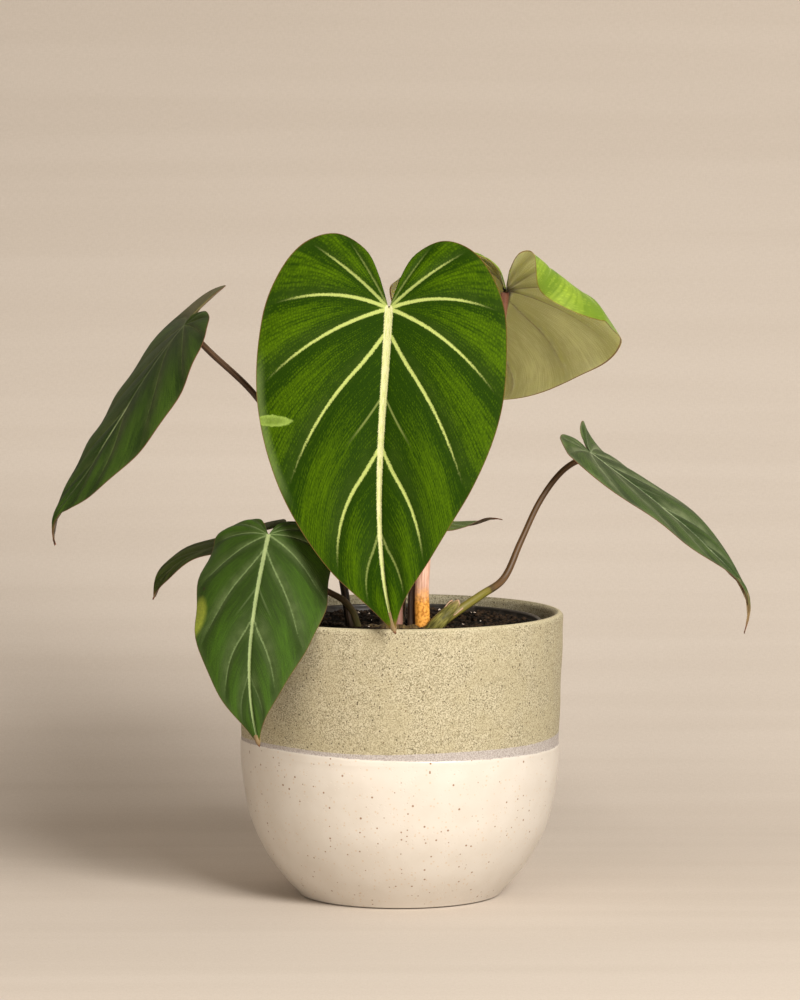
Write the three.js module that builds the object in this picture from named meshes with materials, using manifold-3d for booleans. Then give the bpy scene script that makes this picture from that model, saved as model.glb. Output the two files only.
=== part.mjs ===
// Potted philodendron with seven velvety heart-shaped leaves, in its grow pot inside a ceramic pot.
// Millimetres, +Z up, the origin at the middle of the ceramic pot's flat underside.
// The large leaf faces -Y, which is the front.

import * as THREE from 'three';
import { mergeVertices } from 'three/addons/utils/BufferGeometryUtils.js';
import Module from 'manifold-3d';

const wasm = await Module();
wasm.setup();

// Driving dimensions
const GAP = 0.3;
const ROUND = 48;
const POT = { height: 130, rim: 75, waist: 73, waistHeight: 68, foot: 46.5, wall: 4.5, floor: 7 };
const GROW_POT = {
  height: 119.2, rim: 65, wallTop: 61.5, foot: 42, wall: 1, collar: 11.5,
  drains: 6, drainRadius: 5, drainsAt: 28.5,
};
const SOIL = { level: 124.6, dip: 1, rings: [1, 0.9, 0.74, 0.56, 0.38, 0.2] };
const RHIZOME = {
  radius: 8, knobs: 5,
  points: [[-31, -17, 117], [-18, -19, 118], [-4, -20, 118.5], [10, -20, 118], [24, -18, 117.5]],
};
const BLADE = { thickness: 0.8, rib: 0.7, quilt: 0.010 };
const CATAPHYLL = {
  radius: [3.6, 2.5],
  points: [[10.5, -19.5, 118], [10, -18, 141.5], [11, -14.5, 157], [12.5, -11, 177.5], [13, -9.5, 191]],
};
const SHEATH = {
  radius: [3.6, 2.2], torn: [0.9, 0.5],
  points: [[11, -21, 118], [17, -25.5, 127], [23.5, -24.5, 133.5], [27.5, -24, 137.8]],
};
const STEM_SIDES = 8;
const STEM_STEP = 9;

// Half of a blade's outline, in shares of the midrib's length: across, and along from petiole to tip
const HALF_WIDTH = 0.376;
const LOBE = 0.22;
const OUTLINE = new THREE.SplineCurve([
  [0.030, -0.090], [0.075, -0.172], [0.165, -0.220], [0.262, -0.185], [0.335, -0.085], [0.376, 0.055],
  [0.374, 0.300], [0.300, 0.530], [0.172, 0.745], [0.060, 0.890], [0.016, 0.962], [0, 1],
].map(([across, along]) => new THREE.Vector2(across, along)));

// The veins of a half blade: where each leaves the midrib, its angle from the tip's direction in
// degrees, and where it would meet the outline, both places as shares
const VEINS = [
  { name: 'sinus edge', start: 0, angle: 162, meets: 0 },
  { name: 'inner lobe', start: 0, angle: 151, meets: 0.159 },
  { name: 'lobe', start: 0, angle: 134, meets: 0.264 },
  { name: 'upper side', start: 0, angle: 110, meets: 0.432 },
  { name: 'side', start: 0, angle: 70, meets: 0.536 },
  { name: 'first rib', start: 0.10, angle: 46, meets: 0.655 },
  { name: 'second rib', start: 0.445, angle: 45, meets: 0.759 },
  { name: 'last rib', start: 0.69, angle: 36, meets: 0.827 },
  { name: 'tip', start: 1, angle: 0, meets: 1 },
];
const VEIN_BEND = 0.52;
const TIP_STEPS = [0, 0.35, 0.6, 0.75, 0.85, 0.93];
const DRIP_FROM = 0.93;

// The leaves. A midrib goes through four points, from the petiole to the tip; faces says where the
// upper side looks at each end of it. Pairs are the left and the right half, seen from the upper side
// with the tip down. fold is the rise of a half from the midrib in degrees, and droop how far it has
// turned down at the margin, both at the petiole and at the tip; curl lifts the lobes, and roll turns
// down a stretch of each half's margin. drip is where the tip's thin thread ends. A petiole starts in
// the rhizome, and radius is its half thickness at the foot and at the blade.
const LEAVES = [
  {
    name: 'front_large', steps: 3, rows: [0, 0.09, 0.25, 0.45, 0.65, 0.84, 1],
    midrib: [[-5, -33.5, 270.5], [-8, -47.5, 221.5], [-9, -61, 172], [-2, -87, 129.5]],
    faces: [[-0.01, -0.93, 0.38], [-0.15, -0.72, 0.68]],
    width: [0.99, 0.93], fold: [[9, 9], [9, 8]], droop: [[15, 14], [15, 14]],
    curl: [-9, -11], lobe: [1.03, 0.99],
    ripple: { height: 0.5, count: 3, phase: 0.1 },
    petiole: {
      radius: [2.2, 1.7],
      points: [[-1, -20.5, 118.5], [-1, -18, 141.5], [-1, -10, 191], [-2.5, -10, 237], [-4, -18, 261]],
    },
  },
  {
    name: 'left_high', steps: 2, rows: [0, 0.12, 0.36, 0.64, 0.85, 1],
    midrib: [[-97, -42, 263.5], [-116.5, -48.5, 236.5], [-135, -54.5, 206], [-156.5, -50.5, 176]],
    faces: [[-0.72, -0.18, 0.67], [-0.77, -0.46, 0.44]],
    width: [1.04, 0.93], fold: [[-7, -4], [6, 1]], droop: [[-8, 4], [46, 46]],
    curl: [-16, 38], lobe: [1.18, 0.43],
    ripple: { height: 0.52, count: 3.74, phase: 0.28 }, drip: [-154.5, -48, 165],
    petiole: {
      radius: [1.9, 1.4],
      points: [[-22, -18.5, 118], [-27, -18, 150.5], [-35.5, -14, 177], [-50, -12, 206], [-66, -16, 230.5],
        [-86, -29, 251]],
    },
  },
  {
    name: 'left_low', steps: 2, rows: [0, 0.12, 0.36, 0.64, 0.85, 1],
    midrib: [[-59, -50, 170], [-65.5, -72.5, 133], [-66.5, -83, 104.5], [-62, -89, 79.5]],
    faces: [[-0.15, -0.78, 0.61], [-0.13, -0.96, 0.24]],
    width: [0.84, 0.86], fold: [[-6, -11], [8, 7]], droop: [[36, 42], [26, 26]],
    curl: [-43, -40], lobe: [0.57, 0.66],
    ripple: { height: 1.1, count: 3.3, phase: -0.07 },
    petiole: {
      radius: [1.7, 1.3],
      points: [[-17, -20.5, 118], [-19.5, -25, 127], [-21.5, -27, 133], [-26, -30, 138.5],
        [-34, -34, 143.5], [-46, -38, 153], [-56, -42, 162]],
    },
  },
  {
    name: 'left_behind', steps: 2, rows: [0, 0.15, 0.45, 0.75, 1],
    midrib: [[-64, -9.5, 167.5], [-83, -6.5, 161], [-101.5, -10.5, 153], [-112.5, -11.5, 136.5]],
    faces: [[-0.42, 0.05, 0.91], [-0.92, -0.36, 0.13]],
    width: [1.05, 1.05], fold: [[4, 4], [8, 8]], droop: [[8, 8], [11, 11]],
    curl: [-95, -95], lobe: [0.42, 0.46],
    ripple: { height: 0.5, count: 2.5, phase: 0.4 },
    petiole: {
      radius: [1.5, 1.1],
      points: [[-7, -18.5, 118], [-7.5, -12, 126], [-10, -2, 140], [-23, 4, 156], [-41, 4, 160],
        [-57, -4, 162]],
    },
  },
  {
    name: 'right', steps: 2, rows: [0, 0.12, 0.36, 0.64, 0.85, 1],
    midrib: [[88, 13.5, 202], [112.5, 10, 183.5], [138.5, 10, 161.5], [160, 4, 137]],
    faces: [[0.55, -0.18, 0.82], [0.74, -0.29, 0.6]],
    width: [0.96, 0.86], fold: [[5, 2], [6, 20]], droop: [[8, 20], [1, 37]],
    curl: [19, 70], lobe: [0.57, 0.75],
    ripple: { height: 0.8, count: 1.96, phase: -0.17 }, drip: [157.5, 0, 119.5],
    petiole: {
      radius: [2.3, 1.35], sheath: true,
      points: [[11, -21, 118], [14, -25, 123.5], [23, -24.5, 130.5], [36.5, -16, 138.8], [47.4, -5, 145.5],
        [55.3, 2, 161.6], [64, 7, 179.5], [72.2, 10, 191], [78.2, 12, 196.2]],
    },
  },
  {
    name: 'back', steps: 3, rows: [0, 0.09, 0.25, 0.45, 0.62, 0.76, 0.88, 1],
    midrib: [[49, 12, 277.5], [47, 40, 263.5], [38.5, 91, 238], [28, 140, 215]],
    faces: [[0.41, 0.29, 0.86], [0.37, 0.46, 0.8]],
    width: [1.04, 1.06], fold: [[18, 47], [-5, -11]], droop: [[6, 99], [-29, -7]],
    curl: [40, 89], lobe: [1.3, 0.49],
    roll: [
      { angle: 158, at: 0.29, spread: 0.15, from: 0.51 },
      { angle: 148, at: 0.305, spread: 0.13, from: 0.41 },
    ],
    ripple: { height: 0.6, count: 3, phase: 0 },
    petiole: {
      radius: [2.2, 1.6],
      points: [[5.5, -18.5, 118], [5.5, -14, 126], [6, -12, 141], [11, -4, 163], [26.5, 8, 203.5],
        [42, 12, 244], [47, 11, 264]],
    },
  },
  {
    name: 'young', steps: 2, rows: [0, 0.15, 0.45, 0.75, 1],
    midrib: [[5, 29, 173.5], [18, 28.5, 169], [29.5, 32, 167], [40.5, 24, 170.6]],
    faces: [[0.01, -0.31, 0.95], [-0.18, 0.13, 0.98]],
    width: [0.83, 0.8], fold: [[1, 6], [4, 7]], droop: [[20, 18], [22, 17]],
    curl: [1, 1], lobe: [1, 1.01],
    ripple: { height: 0.4, count: 2.5, phase: 0.2 }, drip: [47.5, 20, 170],
    petiole: {
      radius: [1.4, 1.1],
      points: [[1, -18, 118], [1, -10, 124.5], [2, 2, 144], [3, 18, 160], [3.5, 25, 167]],
    },
  },
];

const radians = THREE.MathUtils.degToRad;
const vector = (list) => new THREE.Vector3(...list);
const mix = THREE.MathUtils.lerp;

// A cubic curve through four points that are a third of its parameter apart
function curveThrough(points) {
  const [start, second, third, end] = points.map(vector);
  const blend = (a, b, c, d) => start.clone().multiplyScalar(a).addScaledVector(second, b)
    .addScaledVector(third, c).addScaledVector(end, d).divideScalar(6);
  return new THREE.CubicBezierCurve3(start, blend(-5, 18, -9, 2), blend(2, -9, 18, -5), end);
}

// One body from triangles: vertices that coincide are joined and triangles without area dropped
function solid(positions, triangles) {
  const raw = new THREE.BufferGeometry();
  const numbers = positions.flatMap((p) => p.toArray());
  raw.setAttribute('position', new THREE.Float32BufferAttribute(numbers, 3));
  raw.setIndex(triangles.flat());
  return closed(raw);
}

function closed(geometry) {
  const bare = geometry.clone();
  for (const name of ['normal', 'uv']) bare.deleteAttribute(name);
  const merged = mergeVertices(bare, 1e-4);
  const index = [...merged.index.array];
  const kept = [];
  for (let i = 0; i < index.length; i += 3) {
    const [a, b, c] = index.slice(i, i + 3);
    if (a !== b && b !== c && c !== a) kept.push(a, b, c);
  }
  merged.setIndex(kept);
  return merged;
}

// Boolean joins and cuts
function toManifold(geometry) {
  const { position } = geometry.attributes;
  const triVerts = new Uint32Array(geometry.index.array);
  const vertProperties = new Float32Array(position.array);
  return new wasm.Manifold(new wasm.Mesh({ numProp: 3, vertProperties, triVerts }));
}

function fromManifold(body) {
  const mesh = body.getMesh();
  const geometry = new THREE.BufferGeometry();
  const numbers = [...mesh.vertProperties];
  geometry.setAttribute('position', new THREE.Float32BufferAttribute(numbers, mesh.numProp));
  geometry.setIndex([...mesh.triVerts]);
  return geometry;
}

const cut = (geometry, tools) => fromManifold(tools.reduce(
  (body, tool) => body.subtract(toManifold(tool)), toManifold(geometry)));
const join = (...geometries) => fromManifold(geometries.map(toManifold).reduce((a, b) => a.add(b)));

// A round body turned about +Z from a profile of [radius, height] that starts and ends on the axis
function turned(profile, segments = ROUND) {
  const lathe = new THREE.LatheGeometry(profile.map(([r, z]) => new THREE.Vector2(r, z)), segments);
  return closed(lathe.rotateX(Math.PI / 2));
}

// A closed stem along a smooth line: radiusAt(u) gives its half width and half thickness
function stem(points, radiusAt, steps, sides = STEM_SIDES) {
  const curve = new THREE.CatmullRomCurve3(points.map(vector), false, 'centripetal');
  const frames = curve.computeFrenetFrames(steps);
  const positions = [];
  const triangles = [];
  for (let i = 0; i <= steps; i += 1) {
    const centre = curve.getPointAt(i / steps);
    const [wide, thick] = radiusAt(i / steps);
    for (let j = 0; j < sides; j += 1) {
      const turn = (2 * Math.PI * j) / sides;
      positions.push(centre.clone().addScaledVector(frames.normals[i], wide * Math.cos(turn))
        .addScaledVector(frames.binormals[i], thick * Math.sin(turn)));
    }
  }
  for (let i = 0; i < steps; i += 1) {
    for (let j = 0; j < sides; j += 1) {
      const [a, b] = [i * sides + j, i * sides + ((j + 1) % sides)];
      triangles.push([a, b, b + sides], [a, b + sides, a + sides]);
    }
  }
  const last = steps * sides;
  for (let j = 1; j < sides - 1; j += 1) {
    triangles.push([0, j + 1, j], [last, last + j, last + j + 1]);
  }
  return solid(positions, triangles);
}

// Blade
function columnEnds(vein, share) {
  const [here, next] = [VEINS[vein], VEINS[Math.min(vein + 1, VEINS.length - 1)]];
  const start = mix(here.start, next.start, share);
  const angle = radians(mix(here.angle, next.angle, share));
  const meets = mix(here.meets, next.meets, share);
  return { from: new THREE.Vector2(0, start), angle, meets, to: OUTLINE.getPoint(meets) };
}

// A place on the flat half blade: a share along the curved line between the midrib and the margin
function flatPlace({ from, angle, to }, share) {
  const reach = from.distanceTo(to) * VEIN_BEND;
  const bend = new THREE.Vector2(Math.sin(angle), Math.cos(angle)).multiplyScalar(reach).add(from);
  return new THREE.QuadraticBezierCurve(from, bend, to).getPoint(share);
}

// The frame of a blade at a share along its midrib: centre, along to the tip, face up, side out
function midribFrame(leaf, along) {
  const share = THREE.MathUtils.clamp(along, 0, 1);
  const curve = leaf.curve;
  let centre = curve.getPointAt(share);
  let tangent = curve.getTangentAt(share);
  if (leaf.drip && share > DRIP_FROM) {
    const foot = curve.getPointAt(DRIP_FROM);
    const end = vector(leaf.drip);
    const knee = foot.clone().addScaledVector(curve.getTangentAt(DRIP_FROM), foot.distanceTo(end) / 2);
    const thread = new THREE.QuadraticBezierCurve3(foot, knee, end);
    const done = (share - DRIP_FROM) / (1 - DRIP_FROM);
    centre = thread.getPoint(done);
    tangent = thread.getTangent(done);
  }
  const face = vector(leaf.faces[0]).lerp(vector(leaf.faces[1]), share);
  face.addScaledVector(tangent, -face.dot(tangent)).normalize();
  return { centre, tangent, face, side: face.clone().cross(tangent) };
}

function bladePoint(leaf, half, vein, share, row) {
  const sign = half ? 1 : -1;
  const column = columnEnds(vein, share);
  const roll = leaf.roll?.[half] ?? { angle: 0, at: 0, spread: 1, from: 0.5 };
  const turn = radians(roll.angle) * Math.exp(-(((column.meets - roll.at) / roll.spread) ** 2));
  let reach = row;
  let drop = 0;
  if (turn > 0.02 && row > roll.from) {
    const done = turn * ((row - roll.from) / (1 - roll.from));
    reach = roll.from + ((1 - roll.from) * Math.sin(done)) / turn;
    const rolled = (1 - roll.from) * column.from.distanceTo(column.to) * leaf.length;
    drop = (rolled * (1 - Math.cos(done))) / turn;
  }
  const flat = flatPlace(column, reach);
  const width = leaf.width[half];
  const across = flat.x * width;
  const along = flat.y < 0 ? flat.y * leaf.lobe[half] : flat.y;
  const { centre, tangent, face, side } = midribFrame(leaf, along);
  const back = Math.max(-along, 0);
  const rate = radians(leaf.curl[half] || 0.01) / LOBE;
  const bend = rate * back;
  centre.addScaledVector(tangent, (-Math.sin(bend) / rate) * leaf.length);
  centre.addScaledVector(face, ((1 - Math.cos(bend)) / rate) * leaf.length);
  const up = face.clone().multiplyScalar(Math.cos(bend)).addScaledVector(tangent, Math.sin(bend));
  const tipward = THREE.MathUtils.clamp(along, 0, 1);
  const rise = radians(mix(leaf.fold[0][half], leaf.fold[1][half], tipward));
  const fall = radians(mix(leaf.droop[0][half], leaf.droop[1][half], tipward) || 0.1);
  const edge = HALF_WIDTH * width;
  const slope = rise - fall * (across / edge);
  const out = ((Math.sin(rise) - Math.sin(slope)) / fall) * edge * leaf.length;
  const height = ((Math.cos(slope) - Math.cos(rise)) / fall) * edge * leaf.length;
  centre.addScaledVector(side, sign * out).addScaledVector(up, height);
  const between = Math.sin(Math.PI * share) * Math.min(1, row + 3 * column.from.y);
  const quilt = BLADE.quilt * leaf.length * between * Math.sin(Math.PI * row) ** 0.7;
  const { height: wave, count, phase } = leaf.ripple;
  const ripple = wave * row ** 3 * Math.sin(2 * Math.PI * (count * flat.y + phase + 0.35 * sign));
  const normal = up.multiplyScalar(Math.cos(slope)).addScaledVector(side, -sign * Math.sin(slope));
  return centre.addScaledVector(normal, quilt + ripple - drop);
}

// The upper skin of a blade as rows of columns, both halves sharing the midrib, the petiole's end and
// the tip; ribs says how much each place is thickened below by its vein
function bladeSkin(leaf) {
  const columns = [];
  for (let vein = 0; vein < VEINS.length - 2; vein += 1) {
    for (let step = 0; step < leaf.steps; step += 1) columns.push([vein, step / leaf.steps]);
  }
  for (const step of TIP_STEPS) columns.push([VEINS.length - 2, step]);
  columns.push([VEINS.length - 1, 0]);
  const positions = [];
  const ribs = [];
  const known = new Map();
  const place = (half, column, row) => {
    const [vein, share] = columns[column];
    const { from } = columnEnds(vein, share);
    const isTip = column === columns.length - 1;
    const key = isTip ? 'tip' : row === 0 ? `midrib ${from.y.toFixed(5)}` : `${half} ${column} ${row}`;
    if (!known.has(key)) {
      known.set(key, positions.length);
      positions.push(bladePoint(leaf, half, vein, share, isTip ? 1 : leaf.rows[row]));
      const midrib = row === 0 ? 1 - from.y : 0;
      const lateral = share === 0 ? Math.min(0.7, 4 * leaf.rows[row]) * (1 - leaf.rows[row]) : 0;
      ribs.push(isTip ? 0 : BLADE.rib * Math.max(midrib, lateral));
    }
    return known.get(key);
  };
  const triangles = [];
  for (const half of [0, 1]) {
    for (let column = 0; column < columns.length - 1; column += 1) {
      for (let row = 0; row < leaf.rows.length - 1; row += 1) {
        const corners = [[column, row], [column + 1, row], [column + 1, row + 1], [column, row + 1]];
        const [a, b, c, d] = corners.map(([i, j]) => place(half, i, j));
        for (const [p, q, r] of [[a, b, c], [a, c, d]]) {
          if (p !== q && q !== r && r !== p) triangles.push(half ? [p, q, r] : [p, r, q]);
        }
      }
    }
  }
  return { positions, ribs, triangles, foot: known.get('midrib 0.00000') };
}

// A skin thickened downwards into one closed body, triangulated alike on both faces, and the middle
// of its underside at the petiole
function thickened({ positions, ribs, triangles, foot }) {
  const normals = positions.map(() => new THREE.Vector3());
  for (const [a, b, c] of triangles) {
    const [p, q, r] = [a, b, c].map((i) => positions[i]);
    const area = q.clone().sub(p).cross(r.clone().sub(p));
    for (const i of [a, b, c]) normals[i].add(area);
  }
  const count = positions.length;
  const under = positions.map((p, i) => p.clone()
    .addScaledVector(normals[i].normalize(), -(BLADE.thickness + ribs[i])));
  const edges = new Map();
  for (const [a, b, c] of triangles) {
    for (const [p, q] of [[a, b], [b, c], [c, a]]) edges.set(`${p} ${q}`, [p, q]);
  }
  const walls = [];
  for (const [p, q] of edges.values()) {
    if (!edges.has(`${q} ${p}`)) walls.push([q, p, p + count], [q, p + count, q + count]);
  }
  const lower = triangles.map(([a, b, c]) => [a + count, c + count, b + count]);
  const body = solid([...positions, ...under], [...triangles, ...lower, ...walls]);
  return { body, foot: under[foot], normal: normals[foot] };
}

// The petiole ends just under its blade, clear of it by GAP however it comes in
function petioleStem(leaf, foot, normal, grow = 0) {
  const { radius: [low, high], points } = leaf.petiole;
  const arriving = foot.clone().sub(vector(points.at(-1))).normalize();
  const tilt = Math.sqrt(Math.max(0, 1 - arriving.dot(normal) ** 2));
  const hollow = Math.sin(radians(Math.max(0, ...leaf.fold[0].map((rise) => -rise))));
  const end = foot.clone().addScaledVector(normal, -(GAP + high * (tilt + hollow)));
  const steps = Math.round(end.distanceTo(vector(points[0])) / STEM_STEP) + 4;
  return stem([...points, end.toArray()], (share) => {
    const radius = mix(low, high, Math.min(1, share * 1.6)) + grow;
    return [radius, radius];
  }, steps);
}

// The old sheath at the foot of the right petiole, torn at its end
function tornSheath(radius) {
  const [wide, thick] = radius;
  const [tornWide, tornThick] = SHEATH.torn;
  const radiusAt = (share) => [mix(wide, tornWide, share ** 2), mix(thick, tornThick, share)];
  return stem(SHEATH.points, radiusAt, 7);
}

// Cataphyll, a keeled sheath that stands in front of the newest growth and ends in a point
function cataphyll(grow) {
  return stem(CATAPHYLL.points, (share) => {
    const taper = share < 0.55 ? 1 : Math.sqrt(Math.max(0.01, 1 - ((share - 0.55) / 0.45) ** 1.6));
    return [CATAPHYLL.radius[0] * taper + grow, CATAPHYLL.radius[1] * taper + grow];
  }, 12, 10);
}

// Rhizome, which creeps half buried and bears every stem
function rhizomeStem(grow) {
  const [first, ...rest] = RHIZOME.points.map(vector);
  first.x -= grow;
  rest.at(-1).x += grow;
  return stem([first, ...rest].map((point) => point.toArray()), (share) => {
    const ends = Math.sqrt(Math.max(0.06, 1 - (2 * share - 1) ** 6));
    const knob = 1 + 0.05 * Math.cos(2 * Math.PI * RHIZOME.knobs * share);
    const radius = RHIZOME.radius * ends * knob + grow;
    return [radius, radius];
  }, 14, 10);
}

// Ceramic pot, open above, its lip rounded
function ceramicPot() {
  const { height, rim, waist, waistHeight, foot, wall, floor } = POT;
  const bezier = (count, ...ends) => {
    const curve = new THREE.CubicBezierCurve(...ends.map((end) => new THREE.Vector2(...end)));
    return curve.getPoints(count).map((point) => [point.x, point.y]);
  };
  const belly = bezier(7, [foot, 0], [foot + 13.5, 15], [waist - 0.7, 30], [waist, waistHeight]);
  const inside = waist - wall;
  const bottom = foot - 3;
  const toFloor = [bottom + 15, floor + 11];
  const inner = bezier(5, [inside, waistHeight], [inside - 0.7, 36], toFloor, [bottom, floor]);
  const lip = wall / 2;
  const round = [-20, 25, 70, 110, 155, 200].map((turn) => [
    rim - lip + lip * Math.cos(radians(turn)), height - lip + lip * Math.sin(radians(turn))]);
  return turned([[0, 0], ...belly, ...round, ...inner, [0, floor]]);
}

// Grow pot: a thin plastic wall with a stepped collar and drain holes, standing on the floor
const growFloor = POT.floor + GAP;
const growTop = growFloor + GROW_POT.height;
function growPot() {
  const { rim, wallTop, foot, wall, collar, drains, drainRadius, drainsAt } = GROW_POT;
  const step = growTop - collar;
  const pot = turned([
    [0, growFloor], [foot, growFloor], [wallTop, step - 1.5], [rim, step], [rim, growTop],
    [rim - wall, growTop], [rim - wall, step + wall], [wallTop - wall, step - 0.5],
    [foot - wall, growFloor + wall], [0, growFloor + wall],
  ]);
  const holes = Array.from({ length: drains }, (_, i) => {
    const turn = (2 * Math.PI * (i + 0.5)) / drains;
    const hole = new THREE.CylinderGeometry(drainRadius, drainRadius, 4 * wall, 10).rotateX(Math.PI / 2);
    return closed(hole.translate(drainsAt * Math.cos(turn), drainsAt * Math.sin(turn), growFloor));
  });
  return cut(pot, holes);
}

// Soil: it fills the grow pot, with an uneven top and a plain hole for everything that grows out of it
function soilHeight(x, y) {
  return SOIL.level + 0.9 * Math.sin(x / 9 + 1.3) * Math.cos(y / 7.5) + 0.5 * Math.sin(x / 4.1 - y / 5.3);
}

function soil(clearances) {
  const { rim, wallTop, foot, wall, collar } = GROW_POT;
  const step = growTop - collar + wall;
  const edge = rim - wall - GAP;
  const bottom = growFloor + wall + GAP;
  const rings = SOIL.rings.map((share) => [edge * share, SOIL.level]);
  const body = turned([
    [0, bottom], [foot - wall - GAP, bottom], [wallTop - wall - GAP, step - 1], [edge, step + GAP],
    ...rings, [0, SOIL.level],
  ]);
  const { position } = body.attributes;
  for (let i = 0; i < position.count; i += 1) {
    const [x, y, z] = [position.getX(i), position.getY(i), position.getZ(i)];
    const inside = Math.min(1, (edge - Math.hypot(x, y)) / 5);
    if (z > SOIL.level - 0.01) position.setZ(i, mix(SOIL.level - SOIL.dip, soilHeight(x, y), inside));
  }
  return cut(body, clearances);
}

const finish = (color, roughness) => new THREE.MeshStandardMaterial({ color, roughness, metalness: 0 });
const finishes = {
  blade: finish('#3b6a14', 0.55),
  petiole: finish('#6b4a33', 0.5),
  cataphyll: finish('#c99a78', 0.55),
  rhizome: finish('#5c4a34', 0.8),
  soil: finish('#241c10', 0.95),
  growPot: finish('#3a3a38', 0.5),
  stoneware: finish('#b7ab83', 0.75),
};

const plant = new THREE.Group();
function add(name, geometry, material) {
  const mesh = new THREE.Mesh(geometry, material);
  mesh.name = name;
  plant.add(mesh);
}

add('ceramic_pot', ceramicPot(), finishes.stoneware);
add('grow_pot', growPot(), finishes.growPot);
add('rhizome', rhizomeStem(0), finishes.rhizome);

const rhizomeClear = rhizomeStem(GAP);
add('cataphyll', cut(cataphyll(0), [rhizomeClear]), finishes.cataphyll);

const clearances = [rhizomeClear, cataphyll(GAP)];
for (const leaf of LEAVES) {
  leaf.curve = curveThrough(leaf.midrib);
  leaf.length = leaf.curve.getLength();
  const { body, foot, normal } = thickened(bladeSkin(leaf));
  add(`blade_${leaf.name}`, body, finishes.blade);
  let petiole = petioleStem(leaf, foot, normal);
  let clearance = petioleStem(leaf, foot, normal, GAP);
  if (leaf.petiole.sheath) {
    petiole = join(petiole, tornSheath(SHEATH.radius));
    clearance = join(clearance, tornSheath(SHEATH.radius.map((r) => r + GAP)));
  }
  add(`petiole_${leaf.name}`, cut(petiole, [rhizomeClear]), finishes.petiole);
  clearances.push(clearance);
}
add('soil', soil(clearances), finishes.soil);

export default plant;
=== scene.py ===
"""Looks for a potted philodendron: velvety blades, stalks, soil and a two-tone stoneware pot."""

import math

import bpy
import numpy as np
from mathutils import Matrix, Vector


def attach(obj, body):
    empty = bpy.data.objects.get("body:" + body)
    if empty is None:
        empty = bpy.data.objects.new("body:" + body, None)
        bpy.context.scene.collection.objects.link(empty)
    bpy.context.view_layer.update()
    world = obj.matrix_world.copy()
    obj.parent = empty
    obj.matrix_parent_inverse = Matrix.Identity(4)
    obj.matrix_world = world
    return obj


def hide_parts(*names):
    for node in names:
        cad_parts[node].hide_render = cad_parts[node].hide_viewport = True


bl_info = {
    "name": "Potted Philodendron",
    "version": (1, 0, 0),
    "blender": (4, 5, 0),
    "location": "View3D > Sidebar > Plant",
    "description": "Leaves, stalks, soil and pots of a potted philodendron",
    "category": "Add Mesh",
}

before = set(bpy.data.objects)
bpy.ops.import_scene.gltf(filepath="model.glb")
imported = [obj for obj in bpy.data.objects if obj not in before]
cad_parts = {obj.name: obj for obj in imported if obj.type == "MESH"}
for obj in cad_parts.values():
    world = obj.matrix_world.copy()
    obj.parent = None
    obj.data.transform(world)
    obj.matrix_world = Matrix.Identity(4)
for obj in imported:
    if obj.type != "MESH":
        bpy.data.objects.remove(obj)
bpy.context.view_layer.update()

MM = 0.001
TAU = 2 * math.pi

# Half of a blade's outline, in shares of the midrib's length: across, and along from stalk to tip
HALF_WIDTH = 0.376
LOBE = 0.22
OUTLINE = np.array([
    (0.030, -0.090), (0.075, -0.172), (0.165, -0.220), (0.262, -0.185), (0.335, -0.085), (0.376, 0.055),
    (0.374, 0.300), (0.300, 0.530), (0.172, 0.745), (0.060, 0.890), (0.016, 0.962), (0, 1),
])

# The veins of a half blade, from the sinus to the tip: where each leaves the midrib, its angle from
# the tip's direction in degrees, where it would meet the outline, and how strongly it shows
VEIN_START = (0, 0, 0, 0, 0, 0.10, 0.445, 0.69, 1)
VEIN_ANGLE = (162, 151, 134, 110, 70, 46, 45, 36, 0)
VEIN_MEETS = (0, 0.159, 0.264, 0.432, 0.536, 0.655, 0.759, 0.827, 1)
VEIN_SHOWS = (0, 0.28, 0.72, 0.95, 1, 1, 0.95, 0.38, 0)
VEIN_BEND = 0.52
SECTORS = len(VEIN_START) - 1
DRIP_FROM = 0.93

# A faint extra vein between two others, the slant of the barbs along a vein's edge, and the
# width of the fine streaks between the veins as a share of the midrib's length
FAINT_SECTOR = 5.56
BARB_SLANT = 1.4
STREAK = 0.0118

# How deep light goes into a blade that lets it through, in metres, and how far each colour of it
BLADE_GLOW_DEPTH = 0.0015
BLADE_GLOW_COLOURS = (1.0, 0.9, 0.25)

# Relief of a blade in millimetres: the depth of its veins above, their height below, and the
# roundness of its margin; and the last rows of a half blade, close together at the margin
RIB_GROOVE, MIDRIB_GROOVE = 0.28, 0.42
RIB_RIDGE, MIDRIB_RIDGE = 0.55, 1.1
MARGIN_BEAD = 0.12
MARGIN_ROWS = (0.985, 0.995, 1)

# A distance in millimetres for places that a mark never reaches, and the places on a vein that
# distances are taken from
FAR = 99.0
VEIN_STEPS = 90

# The soil in millimetres: its level, where its top meets the grow pot, its foot, the circle that
# loose bits lie in, and the sizes and flatness of bark and perlite
SOIL_LEVEL = 124.6
SOIL_EDGE = 60.2
SOIL_FOOT = 8.6
BITS_WITHIN = 58.5
BARK = dict(shade=1, size=(0.5, 1.9), flat=(0.3, 0.6))
PERLITE = dict(shade=2, size=(0.4, 1.1), flat=(0.6, 0.9))
PERLITE_SHARE = 0.035

# The rim of the stoneware pot, in millimetres, from which the painted highlight on its lip is measured, and
# how far its inner places are from the glaze and from that highlight
POT_RIM = 130
POT_INSIDE = 60

# The paper sweep in metres: where its wall stands, the radius of its cove, how far it reaches and
# how high, and how far it lies under the pot and again under the cove
WALL, COVE, REACH, WALL_TOP = 0.67, 0.52, 4.0, 3.0
UNDER_POT, UNDER_COVE = 0.0004, 0.001
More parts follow.
